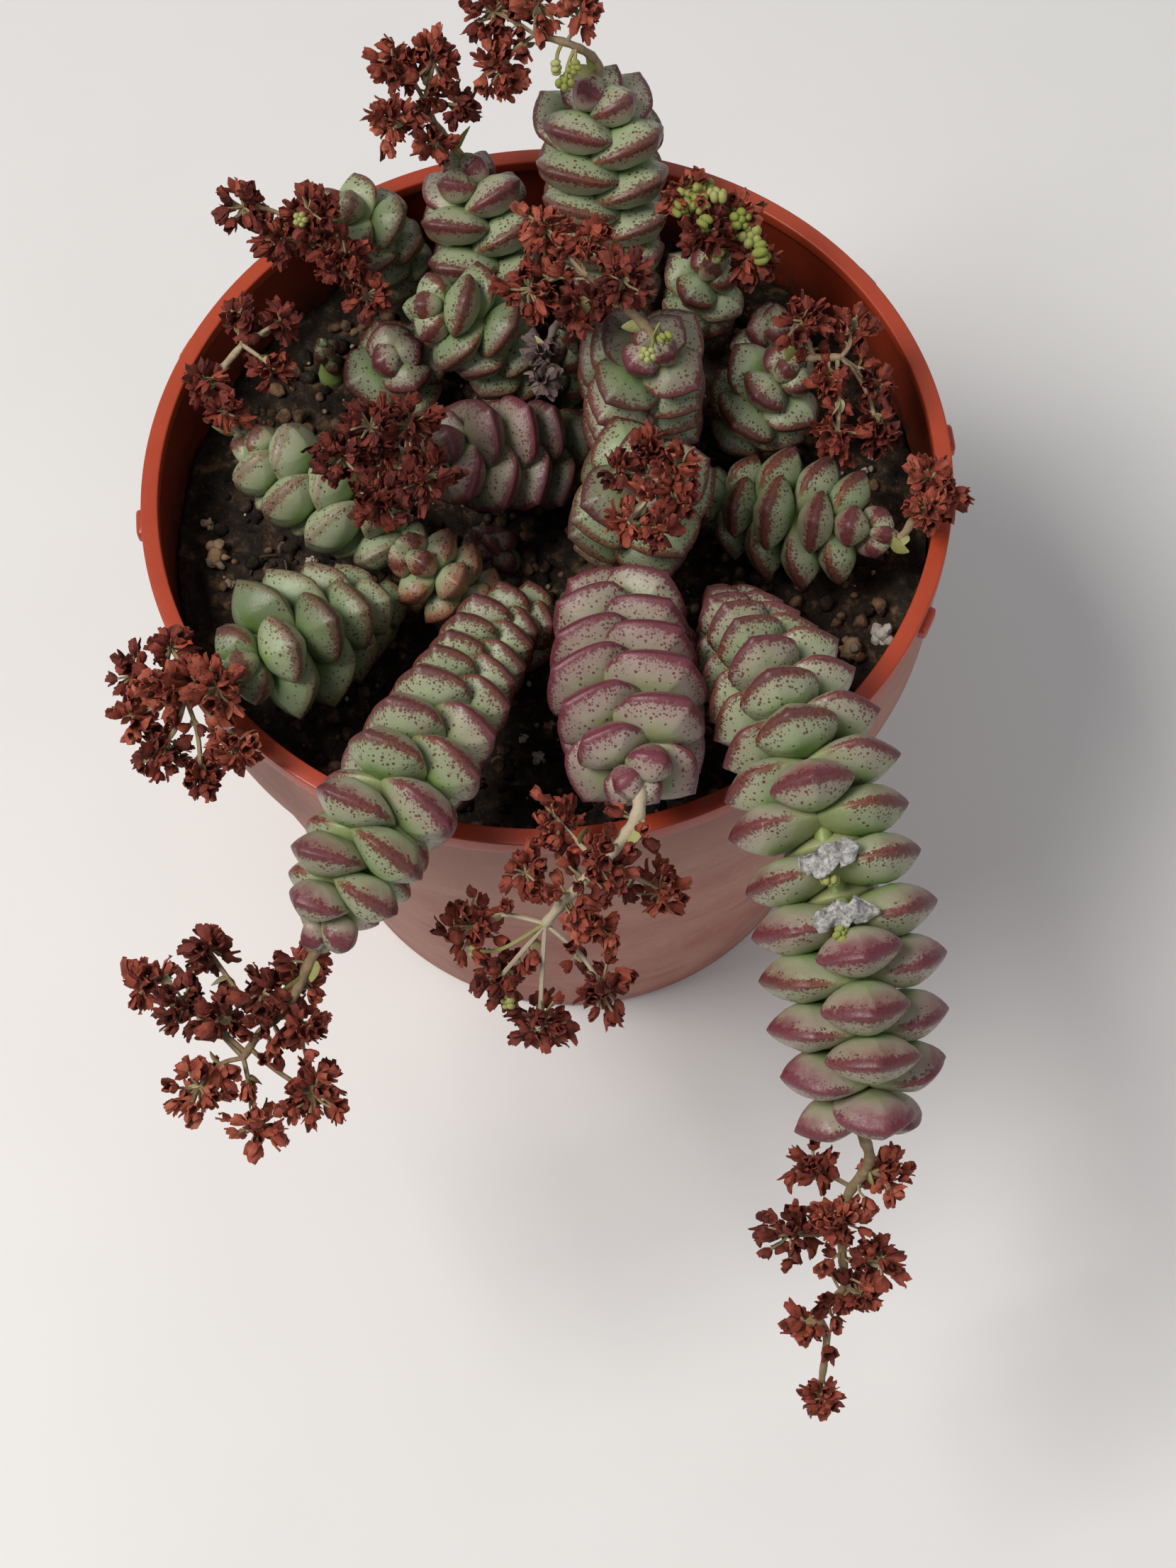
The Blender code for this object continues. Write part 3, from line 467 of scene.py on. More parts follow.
class Shape:
    """Gathers closed shells, with named values at each point, into one mesh."""

    def __init__(self, *names):
        self.points = []
        self.faces = []
        self.values = {name: [] for name in names}
        self.count = 0

    def add(self, points, faces, **values):
        points = np.asarray(points, float).reshape(-1, 3)
        self.points.append(points)
        self.faces += [tuple(corner + self.count for corner in face) for face in faces]
        for name, kept in self.values.items():
            kept.append(np.broadcast_to(np.asarray(values.get(name, 0.0), float), len(points)))
        self.count += len(points)

    def add_rings(self, rings, start, end, **values):
        """A closed shell through rings of equal count, with a point at each end."""
        rows, around, _ = rings.shape
        points = np.vstack([rings.reshape(-1, 3), start, end])
        self.add(points, ring_faces(rows, around), **values)

    def make(self, name):
        mesh = bpy.data.meshes.new(name)
        points = np.vstack(self.points) * MM
        mesh.from_pydata(points.tolist(), [], self.faces)
        for key, kept in self.values.items():
            layer = mesh.attributes.new(key, "FLOAT", "POINT")
            layer.data.foreach_set("value", np.concatenate(kept).astype(np.float32))
        mesh.shade_smooth()
        obj = bpy.data.objects.new(name, mesh)
        bpy.context.scene.collection.objects.link(obj)
        return obj


def add_tube(shape, track, radii, sides, **values):
    """A closed tube along a track, with a radius at each of its points."""
    angles = circle(sides)
    centre, side, other, tangent = track.at(track.lengths)
    radii = np.broadcast_to(np.asarray(radii, float), len(centre))
    ring = side[:, None] * np.cos(angles)[:, None] + other[:, None] * np.sin(angles)[:, None]
    rings = centre[:, None] + ring * radii[:, None, None]
    start = centre[0] - tangent[0] * radii[0] * TUBE_BULGE
    end = centre[-1] + tangent[-1] * radii[-1] * TUBE_BULGE
    shape.add_rings(rings, start, end, **values)


def bent_track(start, end, sag, draw, steps=6):
    """A slightly crooked way between two points."""
    start, end = np.asarray(start, float), np.asarray(end, float)
    middle = (start + end) / 2 + draw.normal(0, 1, 3) * sag * np.linalg.norm(end - start)
    return Track(smooth_line([start, middle, end], steps))


def turned_to(direction, roll):
    """A matrix whose third column points along a direction."""
    z = Vector(direction).normalized()
    matrix = z.to_track_quat("Z", "Y").to_matrix() @ Matrix.Rotation(roll, 3, "Z")
    return np.array(matrix)


def leaf_margin(angles):
    """A leaf's outline in plan, at angles about its thickest point; the tip is at angle 0."""
    front = np.cos(angles) > 0
    power = np.where(front, 2 / LEAF_FRONT_POWER, 2 / LEAF_BACK_POWER)
    length = np.where(front, 1 - LEAF_MIDDLE, LEAF_MIDDLE + LEAF_BACK)
    near = (angles + math.pi) % (2 * math.pi) - math.pi
    point = LEAF_POINT * np.exp(-(near / LEAF_POINT_RAD) ** 2)
    x = LEAF_MIDDLE + length * signed_power(np.cos(angles), power) + point
    return x, LEAF_WIDTH * signed_power(np.sin(angles), power)


def leaf_blade(reach, half, breadth, draw):
    """Grids of x, y and z over a leaf, from the middle of its underside round its rim to that of its top."""
    around, rows = LARGE_LEAF_GRID if reach > LARGE_LEAF else SMALL_LEAF_GRID
    steps = np.linspace(-1, 1, rows + 2)
    rho = np.cos(math.pi / 2 * steps)[:, None]
    edge_x, edge_y = leaf_margin(circle(around))
    x = LEAF_MIDDLE + rho * (edge_x - LEAF_MIDDLE)
    y = rho * edge_y * breadth * draw.uniform(0.95, 1.06)
    upper, under = (height * np.maximum(1 - rho ** crest, 0.0) ** edge
                    for height, crest, edge in (LEAF_UPPER, LEAF_UNDER))
    z = np.where(steps[:, None] > 0, upper, -under) + 0 * x
    phases = draw.uniform(0, FULL_TURN, 4)
    dent = 0.035 * np.sin(7 * x + phases[0]) * np.sin(6 * y + phases[1])
    dent += 0.02 * np.sin(13 * x + 9 * y + phases[2])
    z = z * (1 + dent * (1 - rho ** 4)) * half
    return x * reach, y * reach + 0.02 * reach * np.sin(3 * x + phases[3]), z


def rim_distances(points):
    """How far over the face each point lies from the leaf's rim, below zero on the underside."""
    gaps = np.linalg.norm(np.diff(points, axis=0), axis=2)
    middle = (len(points) - 1) // 2
    rim = np.zeros(points.shape[:2])
    rim[middle + 1:] = np.cumsum(gaps[middle:], axis=0)
    rim[:middle] = -np.cumsum(gaps[:middle][::-1], axis=0)[::-1]
    return rim


def packed(grid):
    """A grid's values in the order of a shell's points, with one value for each of its end rows."""
    return np.concatenate([grid[1:-1].ravel(), grid[:1, 0], grid[-1:, 0]])


def add_leaf(shape, stem, level, facing, reach, half, lift, flush, draw):
    """A plump closed leaf. half is half its thickness; facing is its angle about the stem."""
    x, y, z = leaf_blade(reach, half, stem.form.breadth, draw)
    angle = math.radians(lift + draw.uniform(-2.5, 2.5))
    along = x * math.cos(angle) - z * math.sin(angle)
    rise = x * math.sin(angle) + draw.uniform(0.0, 0.05) * x * x / reach
    centre, side, other, tangent = stem.at(stem.distance(level))
    turned = facing + math.radians(draw.uniform(-3, 3))
    out = math.cos(turned) * side + math.sin(turned) * other
    beside = np.cross(tangent, out)
    up = z * math.cos(angle) + rise
    points = centre + out * along[..., None] + beside * y[..., None] + tangent * up[..., None]
    # tone follows the stem's light, so on stems in shade it carries painted shade as well as leaf colour.
    shape.add_rings(points[1:-1], points[0, 0], points[-1, 0], rim=packed(rim_distances(points)),
                    along=packed(np.clip(x / reach, 0.0, 1.05)),
                    flush=np.clip(flush + draw.uniform(-0.14, 0.14), 0, 1),
                    tone=np.clip(stem.form.light + draw.uniform(-0.3, 0.3), 0, 1), blush=stem.form.blush)


def add_dried_leaf(shape, stem, level, facing, draw):
    """A leaf shrunk to a crumpled scrap of papery skin, close to the stem."""
    around, rows = DRIED_GRID
    angles = circle(around)
    steps = np.linspace(-0.98, 0.98, rows)
    size = np.sqrt(1 - steps ** 2)[:, None]
    wide, high, thick = (half / 2 for half in DRIED_SIZE)
    x = wide * steps[:, None] + 0 * angles
    y = high * size * np.cos(angles) * (1 + 0.25 * np.sin(9 * steps[:, None] + 2 * angles))
    z = thick * size * np.sin(angles)
    shift = Vector(draw.uniform(0, 50, 3))
    spots = np.stack([x, y, z], -1).reshape(-1, 3)
    folds = [noise.turbulence_vector(Vector(spot) * 0.3 + shift, 3, True) for spot in spots]
    spots = spots + (np.array(folds) - 0.4) * (1.2, 1.5, 2.6)
    centre, side, other, tangent = stem.at(stem.distance(level))
    out = math.cos(facing) * side + math.sin(facing) * other
    axes = np.stack([np.cross(tangent, out), tangent, out])
    place = centre + out * stem.reach(level) * 0.55 + tangent * stem.pitch(level) * 0.75
    rings = (spots @ axes + place).reshape(rows, around, 3)
    ends = rings[0].mean(axis=0), rings[-1].mean(axis=0)
    shape.add_rings(rings, *ends, rim=9.0, along=0.5, tone=0.5, dry=1.0)


def make_leaves(name, form, seed):
    """A stem with a leaf for each side of each pair, each pair a quarter turn from the last."""
    draw = np.random.default_rng(seed)
    stem = Stem(form)
    shape = Shape("rim", "along", "flush", "tone", "dry", "blush")
    core = np.interp(stem.lengths, [ROOT_DEPTH, ROOT_DEPTH + 2 * BARE_LENGTH], [ROOT_RADIUS, CORE_RADIUS])
    core = core * np.clip((stem.length + 1.0 - stem.lengths) / 3.0, 0.3, 1.0)
    add_tube(shape, stem, core, CORE_SIDES, rim=9.0, along=0.1, flush=0.1, tone=0.5)
    foot_lift, tip_lift = form.lift
    for pair in range(1, stem.pairs + 1):
        level = min(pair, stem.pairs - 0.35)
        last = stem.pairs - pair
        lift = foot_lift + (tip_lift - foot_lift) * pair / stem.pairs
        lift += TIP_LIFTS_DEG[last] if last < len(TIP_LIFTS_DEG) else 0.0
        flush = form.flush * (0.75 + 0.35 * pair / stem.pairs) + (0.15 if last < 3 else 0.0)
        for side in (0, 1):
            reach = stem.reach(level) * form.size * draw.uniform(0.95, 1.03)
            half = stem.pitch(level) * draw.uniform(0.94, 1.04)
            facing = pair * math.pi / 2 + side * math.pi
            if (name, pair, side) in DRIED_LEAVES:
                add_dried_leaf(shape, stem, level, facing, draw)
            else:
                add_leaf(shape, stem, level, facing, reach, half, lift, flush, draw)
    return shape.make(name.replace("stem", "leaves").replace("plantlet", "leaves_plantlet"))


def petal(draw, facing, openness):
    """Rings of one dried petal: a thin keeled blade that stands up from the floret's base."""
    rows = [
        (0.0, 0.30, 0.0, 0.40), (0.34, 0.86, 0.90, 0.78), (0.70, 0.95 + 0.2 * openness, 1.95, 0.80),
        (0.94, 0.86 + 0.6 * openness, 2.75, 0.54),
    ]
    twist = draw.uniform(-1.0, 1.0)
    bend = draw.uniform(-0.4, 0.35)
    out = np.array([math.cos(facing), math.sin(facing), 0.0])
    beside = np.array([-math.sin(facing), math.cos(facing), 0.0])
    stretch = draw.uniform(0.6, 1.15)
    rings, shades = [], []
    for share, radius, height, half in rows:
        half = half * draw.uniform(0.88, 1.1)
        radius = radius + share * draw.uniform(-0.10, 0.10)
        turned = beside * math.cos(twist * share) + out * math.sin(twist * share)
        middle = out * (radius + bend * share) + np.array([0.0, 0.0, height * stretch])
        rings.append([middle + turned * half - out * 0.34 * half, middle + out * 0.12,
                      middle - turned * half - out * 0.34 * half, middle - out * (0.10 + 0.12 * half)])
        # Painted shade at each ring point: darkest on the inner face, lighter on the sides, lightest on the
        # outer keel.
        shades.append([0.62, 0.4 + 0.6 * min(1.0, share + 0.3), 0.62, 0.1 + 0.2 * share])
    tip = out * (0.9 + 0.8 * openness + bend) + beside * 0.5 * twist + np.array([0.0, 0.0, 2.95 * stretch])
    return np.array(rings), np.array([0.0, 0.0, -0.1]) + out * 0.2, tip, np.array(shades)


def floret_template(draw, openness):
    """A dried floret: five petals that stand round a narrow base, drawn together to a ragged mouth."""
    points, shades, faces = [], [], []
    turn = draw.uniform(0, FULL_TURN)
    for k in range(PETALS):
        facing = turn + k * 2 * math.pi / PETALS + draw.uniform(-0.1, 0.1)
        rings, start, end, shade = petal(draw, facing, openness * draw.uniform(0.6, 1.3))
        first = len(points) * (rings.shape[0] * rings.shape[1] + 2)
        faces += [tuple(corner + first for corner in face) for face in ring_faces(*rings.shape[:2])]
        points.append(np.vstack([rings.reshape(-1, 3), start, end]))
        # Painted shade: the foot point is dark and the tip point is fully lit.
        shades.append(np.concatenate([shade.ravel(), [0.1, 1.0]]))
    points = np.vstack(points)
    return points + draw.normal(0, FLORET_CRUMPLE, points.shape), faces, np.concatenate(shades)


def nearest_on_line(line, point):
    """The point of a polyline that lies nearest to a point."""
    starts, ends = line[:-1], line[1:]
    along = ends - starts
    share = np.sum((point - starts) * along, axis=1) / np.maximum(np.sum(along * along, axis=1), 1e-9)
    spots = starts + along * np.clip(share, 0, 1)[:, None]
    return spots[np.argmin(np.linalg.norm(spots - point, axis=1))]


def sphere_directions(count, draw):
    """Directions spread evenly over a sphere, each a little off its place."""
    k = np.arange(count) + 0.5
    height = 1 - 2 * k / count
    angle = k * GOLDEN_RAD + draw.uniform(0, FULL_TURN)
    flat = np.sqrt(1 - height ** 2)
    directions = np.stack([flat * np.cos(angle), flat * np.sin(angle), height], -1)
    return unit(directions + draw.normal(0, 0.16, directions.shape))


class Head(Shape):
    """A flower head: its stalk, branches, small scales, knots of dried florets and green buds."""

    def __init__(self, form, seed):
        super().__init__("red", "fresh", "shade", "tone", "grey")
        self.form = form
        self.draw = np.random.default_rng(seed)
        stem = Stem(STEMS[form.stem])
        tip, _, _, self.onward = stem.at(stem.length)
        start = [tip - self.onward * STALK_SINK, tip + self.onward * (CLEARANCE + STALK_START)]
        self.line = smooth_line([*start, *form.stalk], STALK_STEPS)
        self.stalk = Track(self.line)
        lengths = self.stalk.lengths
        radii = (STALK_RADIUS + 0.2 * (form.pale > 0.9)) * (1.15 - 0.4 * lengths / self.stalk.length)
        self.add_stalk(self.stalk, radii * (1 + 0.12 * np.sin(lengths * 2.1)), STALK_SIDES, 0.0)
        self.templates = [floret_template(self.draw, openness) for openness in FLORET_OPENNESS]

    def add_stalk(self, track, radii, sides, red):
        add_tube(self, track, radii, sides, red=red, fresh=STALK_FRESH, shade=1.0, tone=self.form.pale,
                 grey=self.form.grey)

    def add_floret(self, start, spot, direction, tone):
        """A floret at a spot, and the thin stalk that joins it to its start."""
        draw, grey = self.draw, self.form.grey
        points, faces, shade = self.templates[draw.integers(len(self.templates))]
        matrix = turned_to(direction, draw.uniform(0, FULL_TURN)) * draw.uniform(*FLORET_SIZE)
        tone = np.clip(tone + draw.normal(0, 0.16), 0, 1)
        self.add(points @ matrix.T + spot, faces, red=1.0, shade=shade, tone=tone, grey=grey)
        if np.linalg.norm(spot - start) > 0.3:
            add_tube(self, bent_track(start, spot, 0.05, draw, 1), THREAD_RADIUS, THREAD_SIDES, red=0.35,
                     fresh=0.2, shade=0.8, tone=0.5, grey=grey)

    def add_bract(self, spot, direction, length, fresh):
        """A small pointed scale on a stalk, cupped and thin."""
        around, rows = BRACT_GRID
        share = np.linspace(0.04, 0.97, rows)
        width = 0.3 * length * np.sin(math.pi * share ** 0.8) ** 0.8 + 0.1
        angles = circle(around)
        x = width[:, None] * np.cos(angles)
        y = 0.22 * width[:, None] * np.sin(angles) + 0.5 * x * x / length
        z = (share * length)[:, None] + 0 * x
        y = y - 0.25 * (share * share * length)[:, None]
        matrix = turned_to(direction, self.draw.uniform(0, FULL_TURN))
        rings = np.stack([x, y, z], -1) @ matrix.T + spot
        ends = np.array([[0, 0, 0], [0, -0.25 * length, length]]) @ matrix.T + spot
        self.add_rings(rings, *ends, red=0.25, fresh=fresh, shade=0.6, tone=self.draw.uniform(0, 1))

    def add_bud(self, spot, radius):
        """A green bud about to open: five plump lobes round a middle one."""
        draw = self.draw
        around, rows = BUD_GRID
        heights = np.cos(np.linspace(0.14, 0.86, rows) * math.pi)[:, None]
        rings = rings_about_z(np.sqrt(1 - heights ** 2), heights, around)
        direction = unit(draw.normal(0, 1, 3) + np.array([0, -0.5, 1.5]))
        matrix = turned_to(direction, draw.uniform(0, FULL_TURN)) * radius
        tone = draw.uniform(0, 1)
        for k in range(PETALS + 1):
            facing, out = k * 2 * math.pi / PETALS, 0.0 if k == PETALS else 0.62
            middle = np.array([out * math.cos(facing), out * math.sin(facing), 0.1 * draw.normal()])
            scale = np.array([0.42, 0.42, 0.62]) * draw.uniform(0.85, 1.1)
            ends = np.array([[0, 0, 1.0], [0, 0, -1.0]]) * scale + middle
            self.add_rings((rings * scale + middle) @ matrix.T + spot, *(ends @ matrix.T + spot), red=0.2,
                           fresh=1.0, shade=1.0, tone=tone)

    def dress_stalk(self):
        """Two scales at the stalk's foot, and the loose florets along it."""
        draw, stalk = self.draw, self.stalk
        for share in STALK_BRACTS:
            place, side, _, onward = stalk.at(stalk.length * share)
            direction = unit(onward + side * draw.uniform(-1.2, 1.2))
            self.add_bract(place, direction, draw.uniform(3.2, 4.6), 0.9)
        for _ in range(self.form.extra):
            place, side, other, _ = stalk.at(stalk.length * draw.uniform(0.25, 0.85))
            turn = draw.uniform(0, FULL_TURN)
            sideways = math.cos(turn) * side + math.sin(turn) * other
            spot = place + sideways * draw.uniform(1.2, 3.2)
            self.add_floret(place, spot, sideways, draw.uniform(0.2, 0.8))

    def add_knot(self, centre, reach):
        """A branch from the stalk to a round knot of florets, with a few florets and scales on the way."""
        draw = self.draw
        foot = nearest_on_line(self.line[STALK_STEPS:], centre)
        away = unit(centre - foot) if np.linalg.norm(centre - foot) > 0.3 else unit(self.onward)
        branch = bent_track(foot, centre, 0.06, draw)
        self.add_stalk(branch, BRANCH_RADIUS, BRANCH_SIDES, 0.1)
        tone = draw.uniform(0.1, 0.9) * self.form.tone
        for count in range(BRANCH_FLORETS):
            place = branch.at(branch.length * draw.uniform(0.2, 0.95))[0]
            sideways = unit(away * 0.5 + draw.normal(0, 0.8, 3))
            self.add_floret(place, place + sideways * draw.uniform(0.6, 1.6), sideways, tone)
            if count < BRANCH_BRACTS:
                direction = unit(away + draw.normal(0, 0.5, 3))
                self.add_bract(place, direction, draw.uniform(1.8, 2.8), draw.uniform(0.2, 0.7))
        for direction in sphere_directions(max(FLORETS_LEAST, round(FLORETS_PER_AREA * reach * reach)), draw):
            if direction @ away < -0.85:
                continue
            loose = direction * draw.uniform(0.55, 1.12) + draw.normal(0, 0.2, 3)
            spot = centre + loose * (reach - 0.6 * FLORET_LENGTH * FLORET_SIZE[0])
            self.add_floret(centre, spot, unit(direction + 0.55 * draw.normal(0, 1, 3)), tone)

    def add_live_bud(self, spot, radius):
        """A green bud, on a stalk of its own where the head's stalk is near."""
        foot = nearest_on_line(self.line, spot)
        self.add_bud(spot, radius)
        if np.linalg.norm(spot - foot) < BUD_STALK_LONGEST:
            add_tube(self, bent_track(foot, spot, 0.08, self.draw), BUD_STALK_RADIUS, BRANCH_SIDES, red=0.1,
                     fresh=0.7, shade=1.0, tone=0.4)


def make_head(name, form, seed):
    """A flower head as one piece, with sharp creases between petals."""
    head = Head(form, seed)
    head.dress_stalk()
    for *centre, reach in form.knots:
        head.add_knot(np.array(centre, float), reach * form.size)
    for *spot, radius in form.buds:
        head.add_live_bud(np.array(spot, float), radius)
    obj = head.make(name.replace("flowers", "florets"))
    obj.data.set_sharp_from_angle(angle=math.radians(CREASE_DEG))
    return obj


class Value:
    """A number in a node tree, to be reckoned with like any other number."""

    def __init__(self, nodes, socket):
        self.nodes = nodes
        self.socket = socket

    def __add__(self, other):
        return self.nodes.math("ADD", self, other)

    def __sub__(self, other):
        return self.nodes.math("SUBTRACT", self, other)

    def __rsub__(self, other):
        return self.nodes.math("SUBTRACT", other, self)

    def __mul__(self, other):
        return self.nodes.math("MULTIPLY", self, other)

    def __truediv__(self, other):
        return self.nodes.math("DIVIDE", self, other)

    def __abs__(self):
        return self.nodes.math("ABSOLUTE", self)

    def clamped(self):
        return self.nodes.math("ADD", self, 0.0, clamp=True)

    def span(self, low, high, start=0.0, end=1.0):
        """A smooth step from low to high, giving start to end."""
        ends = {"Value": self, "From Min": low, "From Max": high, "To Min": start, "To Max": end}
        node = self.nodes.add("ShaderNodeMapRange", ends, interpolation_type="SMOOTHSTEP")
        return Value(self.nodes, node.outputs["Result"])


class Nodes:
    """A material's node tree, built a node at a time."""

    def __init__(self, name):
        self.material = bpy.data.materials.new(name)
        self.material.use_nodes = True
        self.tree = self.material.node_tree
        self.shader = self.tree.nodes["Principled BSDF"]
        self.space = self.add("ShaderNodeTexCoord").outputs["Object"]

    def add(self, kind, inputs=None, **settings):
        node = self.tree.nodes.new(kind)
        for key, value in settings.items():
            setattr(node, key, value)
        for key, value in (inputs or {}).items():
            self.put(node.inputs[key], value)
        return node

    def put(self, socket, value):
        if isinstance(value, Value):
            value = value.socket
        if isinstance(value, bpy.types.NodeSocket):
            self.tree.links.new(value, socket)
        elif isinstance(value, tuple) and len(value) == 3 and socket.type == "RGBA":
            socket.default_value = (*value, 1.0)
        else:
            socket.default_value = value

    def value(self, name):
        """The value of this name at the mesh's points."""
        return Value(self, self.add("ShaderNodeAttribute", attribute_name=name).outputs["Fac"])

    def math(self, operation, a, b=0.0, clamp=False):
        node = self.add("ShaderNodeMath", {0: a, 1: b}, operation=operation, use_clamp=clamp)
        return Value(self, node.outputs[0])

    def mix(self, factor, a, b):
        return self.add("ShaderNodeMix", {"Factor": factor, 6: a, 7: b}, data_type="RGBA").outputs[2]

    def stretched(self, *scale):
        return self.add("ShaderNodeMapping", {"Vector": self.space, "Scale": scale}).outputs[0]

    def noise(self, size, detail=2.0, rough=0.5, space=None):
        node = self.add("ShaderNodeTexNoise", {"Vector": space or self.space, "Scale": 1 / (size * MM),
                                               "Detail": detail, "Roughness": rough})
        return Value(self, node.outputs["Fac"])

    def cells(self, size):
        """The distance from the middle of the nearest cell, and two values drawn for that cell."""
        node = self.add("ShaderNodeTexVoronoi", {"Vector": self.space, "Scale": 1 / (size * MM)})
        split = self.add("ShaderNodeSeparateColor", {"Color": node.outputs["Color"]})
        return [Value(self, socket) for socket in (node.outputs["Distance"], *split.outputs[:2])]

    def ramp(self, factor, stops):
        node = self.add("ShaderNodeValToRGB", {"Fac": factor})
        elements = node.color_ramp.elements
        while len(elements) < len(stops):
            elements.new(0.5)
        for element, (place, colour) in zip(elements, stops):
            element.position = place
            element.color = (*colour, 1.0)
        return node.outputs["Color"]

    def bump(self, height, depth, normal=None):
        """A bump of height 0 to 1 that stands for a depth in millimetres."""
        node = self.add("ShaderNodeBump", {"Height": height, "Distance": depth * MM})
        if normal:
            self.put(node.inputs["Normal"], normal)
        return node.outputs["Normal"]

    def finish(self, colour, roughness, normal=None, **constants):
        self.put(self.shader.inputs["Base Color"], colour)
        self.put(self.shader.inputs["Roughness"], roughness)
        if normal:
            self.put(self.shader.inputs["Normal"], normal)
        for key, value in constants.items():
            self.shader.inputs[key.replace("_", " ")].default_value = value
        return self.material


class LeafNodes(Nodes):
    """The leaf's node tree, with the values that its layers of colour share."""

    def __init__(self):
        super().__init__("crassula_leaf")
        self.rim, self.along, self.flush, self.tone = map(self.value, ("rim", "along", "flush", "tone"))
        self.broad = self.noise(5.0)
        self.ragged = self.noise(0.6, 3.0, 0.65)
        self.fine = self.noise(0.28, 2.0, 0.6)
        self.blotch = self.noise(2.2, 3.0).span(0.3, 0.65, 0.6, 1.0)
        self.wine = self.flush.span(0.45, 0.95)
        shifted = (self.ragged - 0.5) * 2.8 + self.rim
        band = (abs(shifted) / (self.along * 1.05 + 0.2)).span(1.3, 0.6)
        self.band = band * self.along.span(0.12, 0.42)

    def faces(self):
        """Sage, greener where the bloom has worn off and in the groove at the leaf's foot."""
        # tone runs the sage from dark to light; its low values are partly painted shade.
        sage = self.mix(self.tone, (0.165, 0.235, 0.10), (0.335, 0.385, 0.235))
        sage = self.mix(self.wine, sage, self.mix(self.tone, (0.25, 0.195, 0.15), (0.37, 0.315, 0.25)))
        inner = self.mix(self.tone, (0.11, 0.21, 0.04), (0.21, 0.33, 0.10))
        inner = self.mix(self.wine, inner, (0.26, 0.29, 0.14))
        colour = self.mix((self.broad * 3.0 + abs(self.rim)).span(4.2, 7.8), sage, inner)
        return self.mix(self.along.span(0.45, 0.1, 0.0, 0.6), colour, (0.26, 0.31, 0.08))

    def flushed(self, colour):
        """Red or purple that spreads from the rim over both faces, and orange on blushed leaves."""
        reddened = self.flush * self.blotch * self.along.span(0.3, 0.95)
        under = (self.rim.span(0.4, -0.4) * self.rim.span(-5.2, -0.8) * reddened * 1.6).clamped()
        colour = self.mix(under, colour, self.mix(self.wine, (0.185, 0.066, 0.042), (0.19, 0.060, 0.072)))
        upper = self.rim.span(-0.4, 0.4) * self.rim.span(4.0, 0.3) * reddened * 0.7
        colour = self.mix(upper, colour, self.mix(self.wine, (0.20, 0.088, 0.060), (0.23, 0.095, 0.105)))
        warm = self.value("blush") * self.blotch * self.along.span(0.2, 0.6)
        return self.mix(warm * self.rim.span(3.4, 0.6), colour, (0.30, 0.085, 0.04))

    def banded(self, colour):
        """A ragged band along the rim, from rust to purple."""
        place = (self.broad - 0.5) * 0.35 + self.flush * 0.35 + (self.along - 0.16)
        rust = self.ramp(place, [
            (0.15, (0.17, 0.14, 0.03)), (0.38, (0.18, 0.060, 0.022)), (0.6, (0.155, 0.030, 0.015)),
            (0.82, (0.125, 0.024, 0.018)), (1.0, (0.095, 0.019, 0.021)),
        ])
        rust = self.mix(self.wine, rust, self.mix(self.broad, (0.18, 0.026, 0.042), (0.10, 0.015, 0.034)))
        return self.mix(self.band * 0.93 * self.flush.span(0.1, 0.45, 0.42, 1.0), colour, rust)

    def dots(self, size, radius, density):
        """A mask of small uneven dots, one at most to a cell, that thin out as density falls."""
        distance, pick, spread = self.cells(size)
        reach = (self.ragged - 0.5) * 0.5 + (spread * (radius * 0.6) + radius * 0.6)
        return (reach - distance).span(0.0, 0.1) * self.math("LESS_THAN", pick, density)

    def speckled(self, colour):
        """Dark dots, thickest close to the rim."""
        edge = self.rim.span(-2.4, -0.2) * self.along.span(0.25, 0.6) * self.flush.span(0.1, 0.4, 0.35, 1.0)
        thin = (self.rim.span(6.5, 0.2) * 0.85 + 0.08) * edge
        close = thin * self.rim.span(3.6, 0.8)
        dots = self.math("MAXIMUM", self.dots(0.62, 0.37, thin), self.dots(0.42, 0.40, close))
        return self.mix(dots * 0.9, colour, self.mix(self.wine, (0.085, 0.018, 0.010), (0.13, 0.018, 0.030)))

    def aged(self, colour):
        """A pale bloom over all, low-tone leaves darkened (partly deep leaf colour, partly painted shade),
        and the papery grey of dried ones.
        """
        bloom = self.fine.span(0.35, 0.75) * (self.band * -0.06 + 0.09)
        colour = self.mix(bloom, colour, (0.40, 0.37, 0.34))
        paper = self.mix(self.ragged.span(0.35, 0.65), (0.20, 0.19, 0.18), (0.46, 0.45, 0.44))
        # Leaves of low tone are darkened towards near black: partly deep leaf colour, partly painted shade.
        colour = self.mix(self.tone.span(0.0, 0.45, 0.45, 0.0), colour, (0.03, 0.022, 0.014))
        return self.mix(self.value("dry"), colour, paper)


def leaf_material():
    """Waxy leaf: sage faces, a green groove, a band on the margin from rust to purple, and speckles."""
    leaf = LeafNodes()
    colour = leaf.aged(leaf.speckled(leaf.banded(leaf.flushed(leaf.faces()))))
    normal = leaf.bump(leaf.fine, 0.03, leaf.bump(leaf.noise(1.6, 3.0), 0.10))
    return leaf.finish(colour, leaf.fine.span(0.2, 0.8, 0.36, 0.54), normal, Subsurface_Weight=0.06,
                       Subsurface_Scale=0.001, Subsurface_Radius=(1.0, 0.8, 0.35), Specular_IOR_Level=0.45)


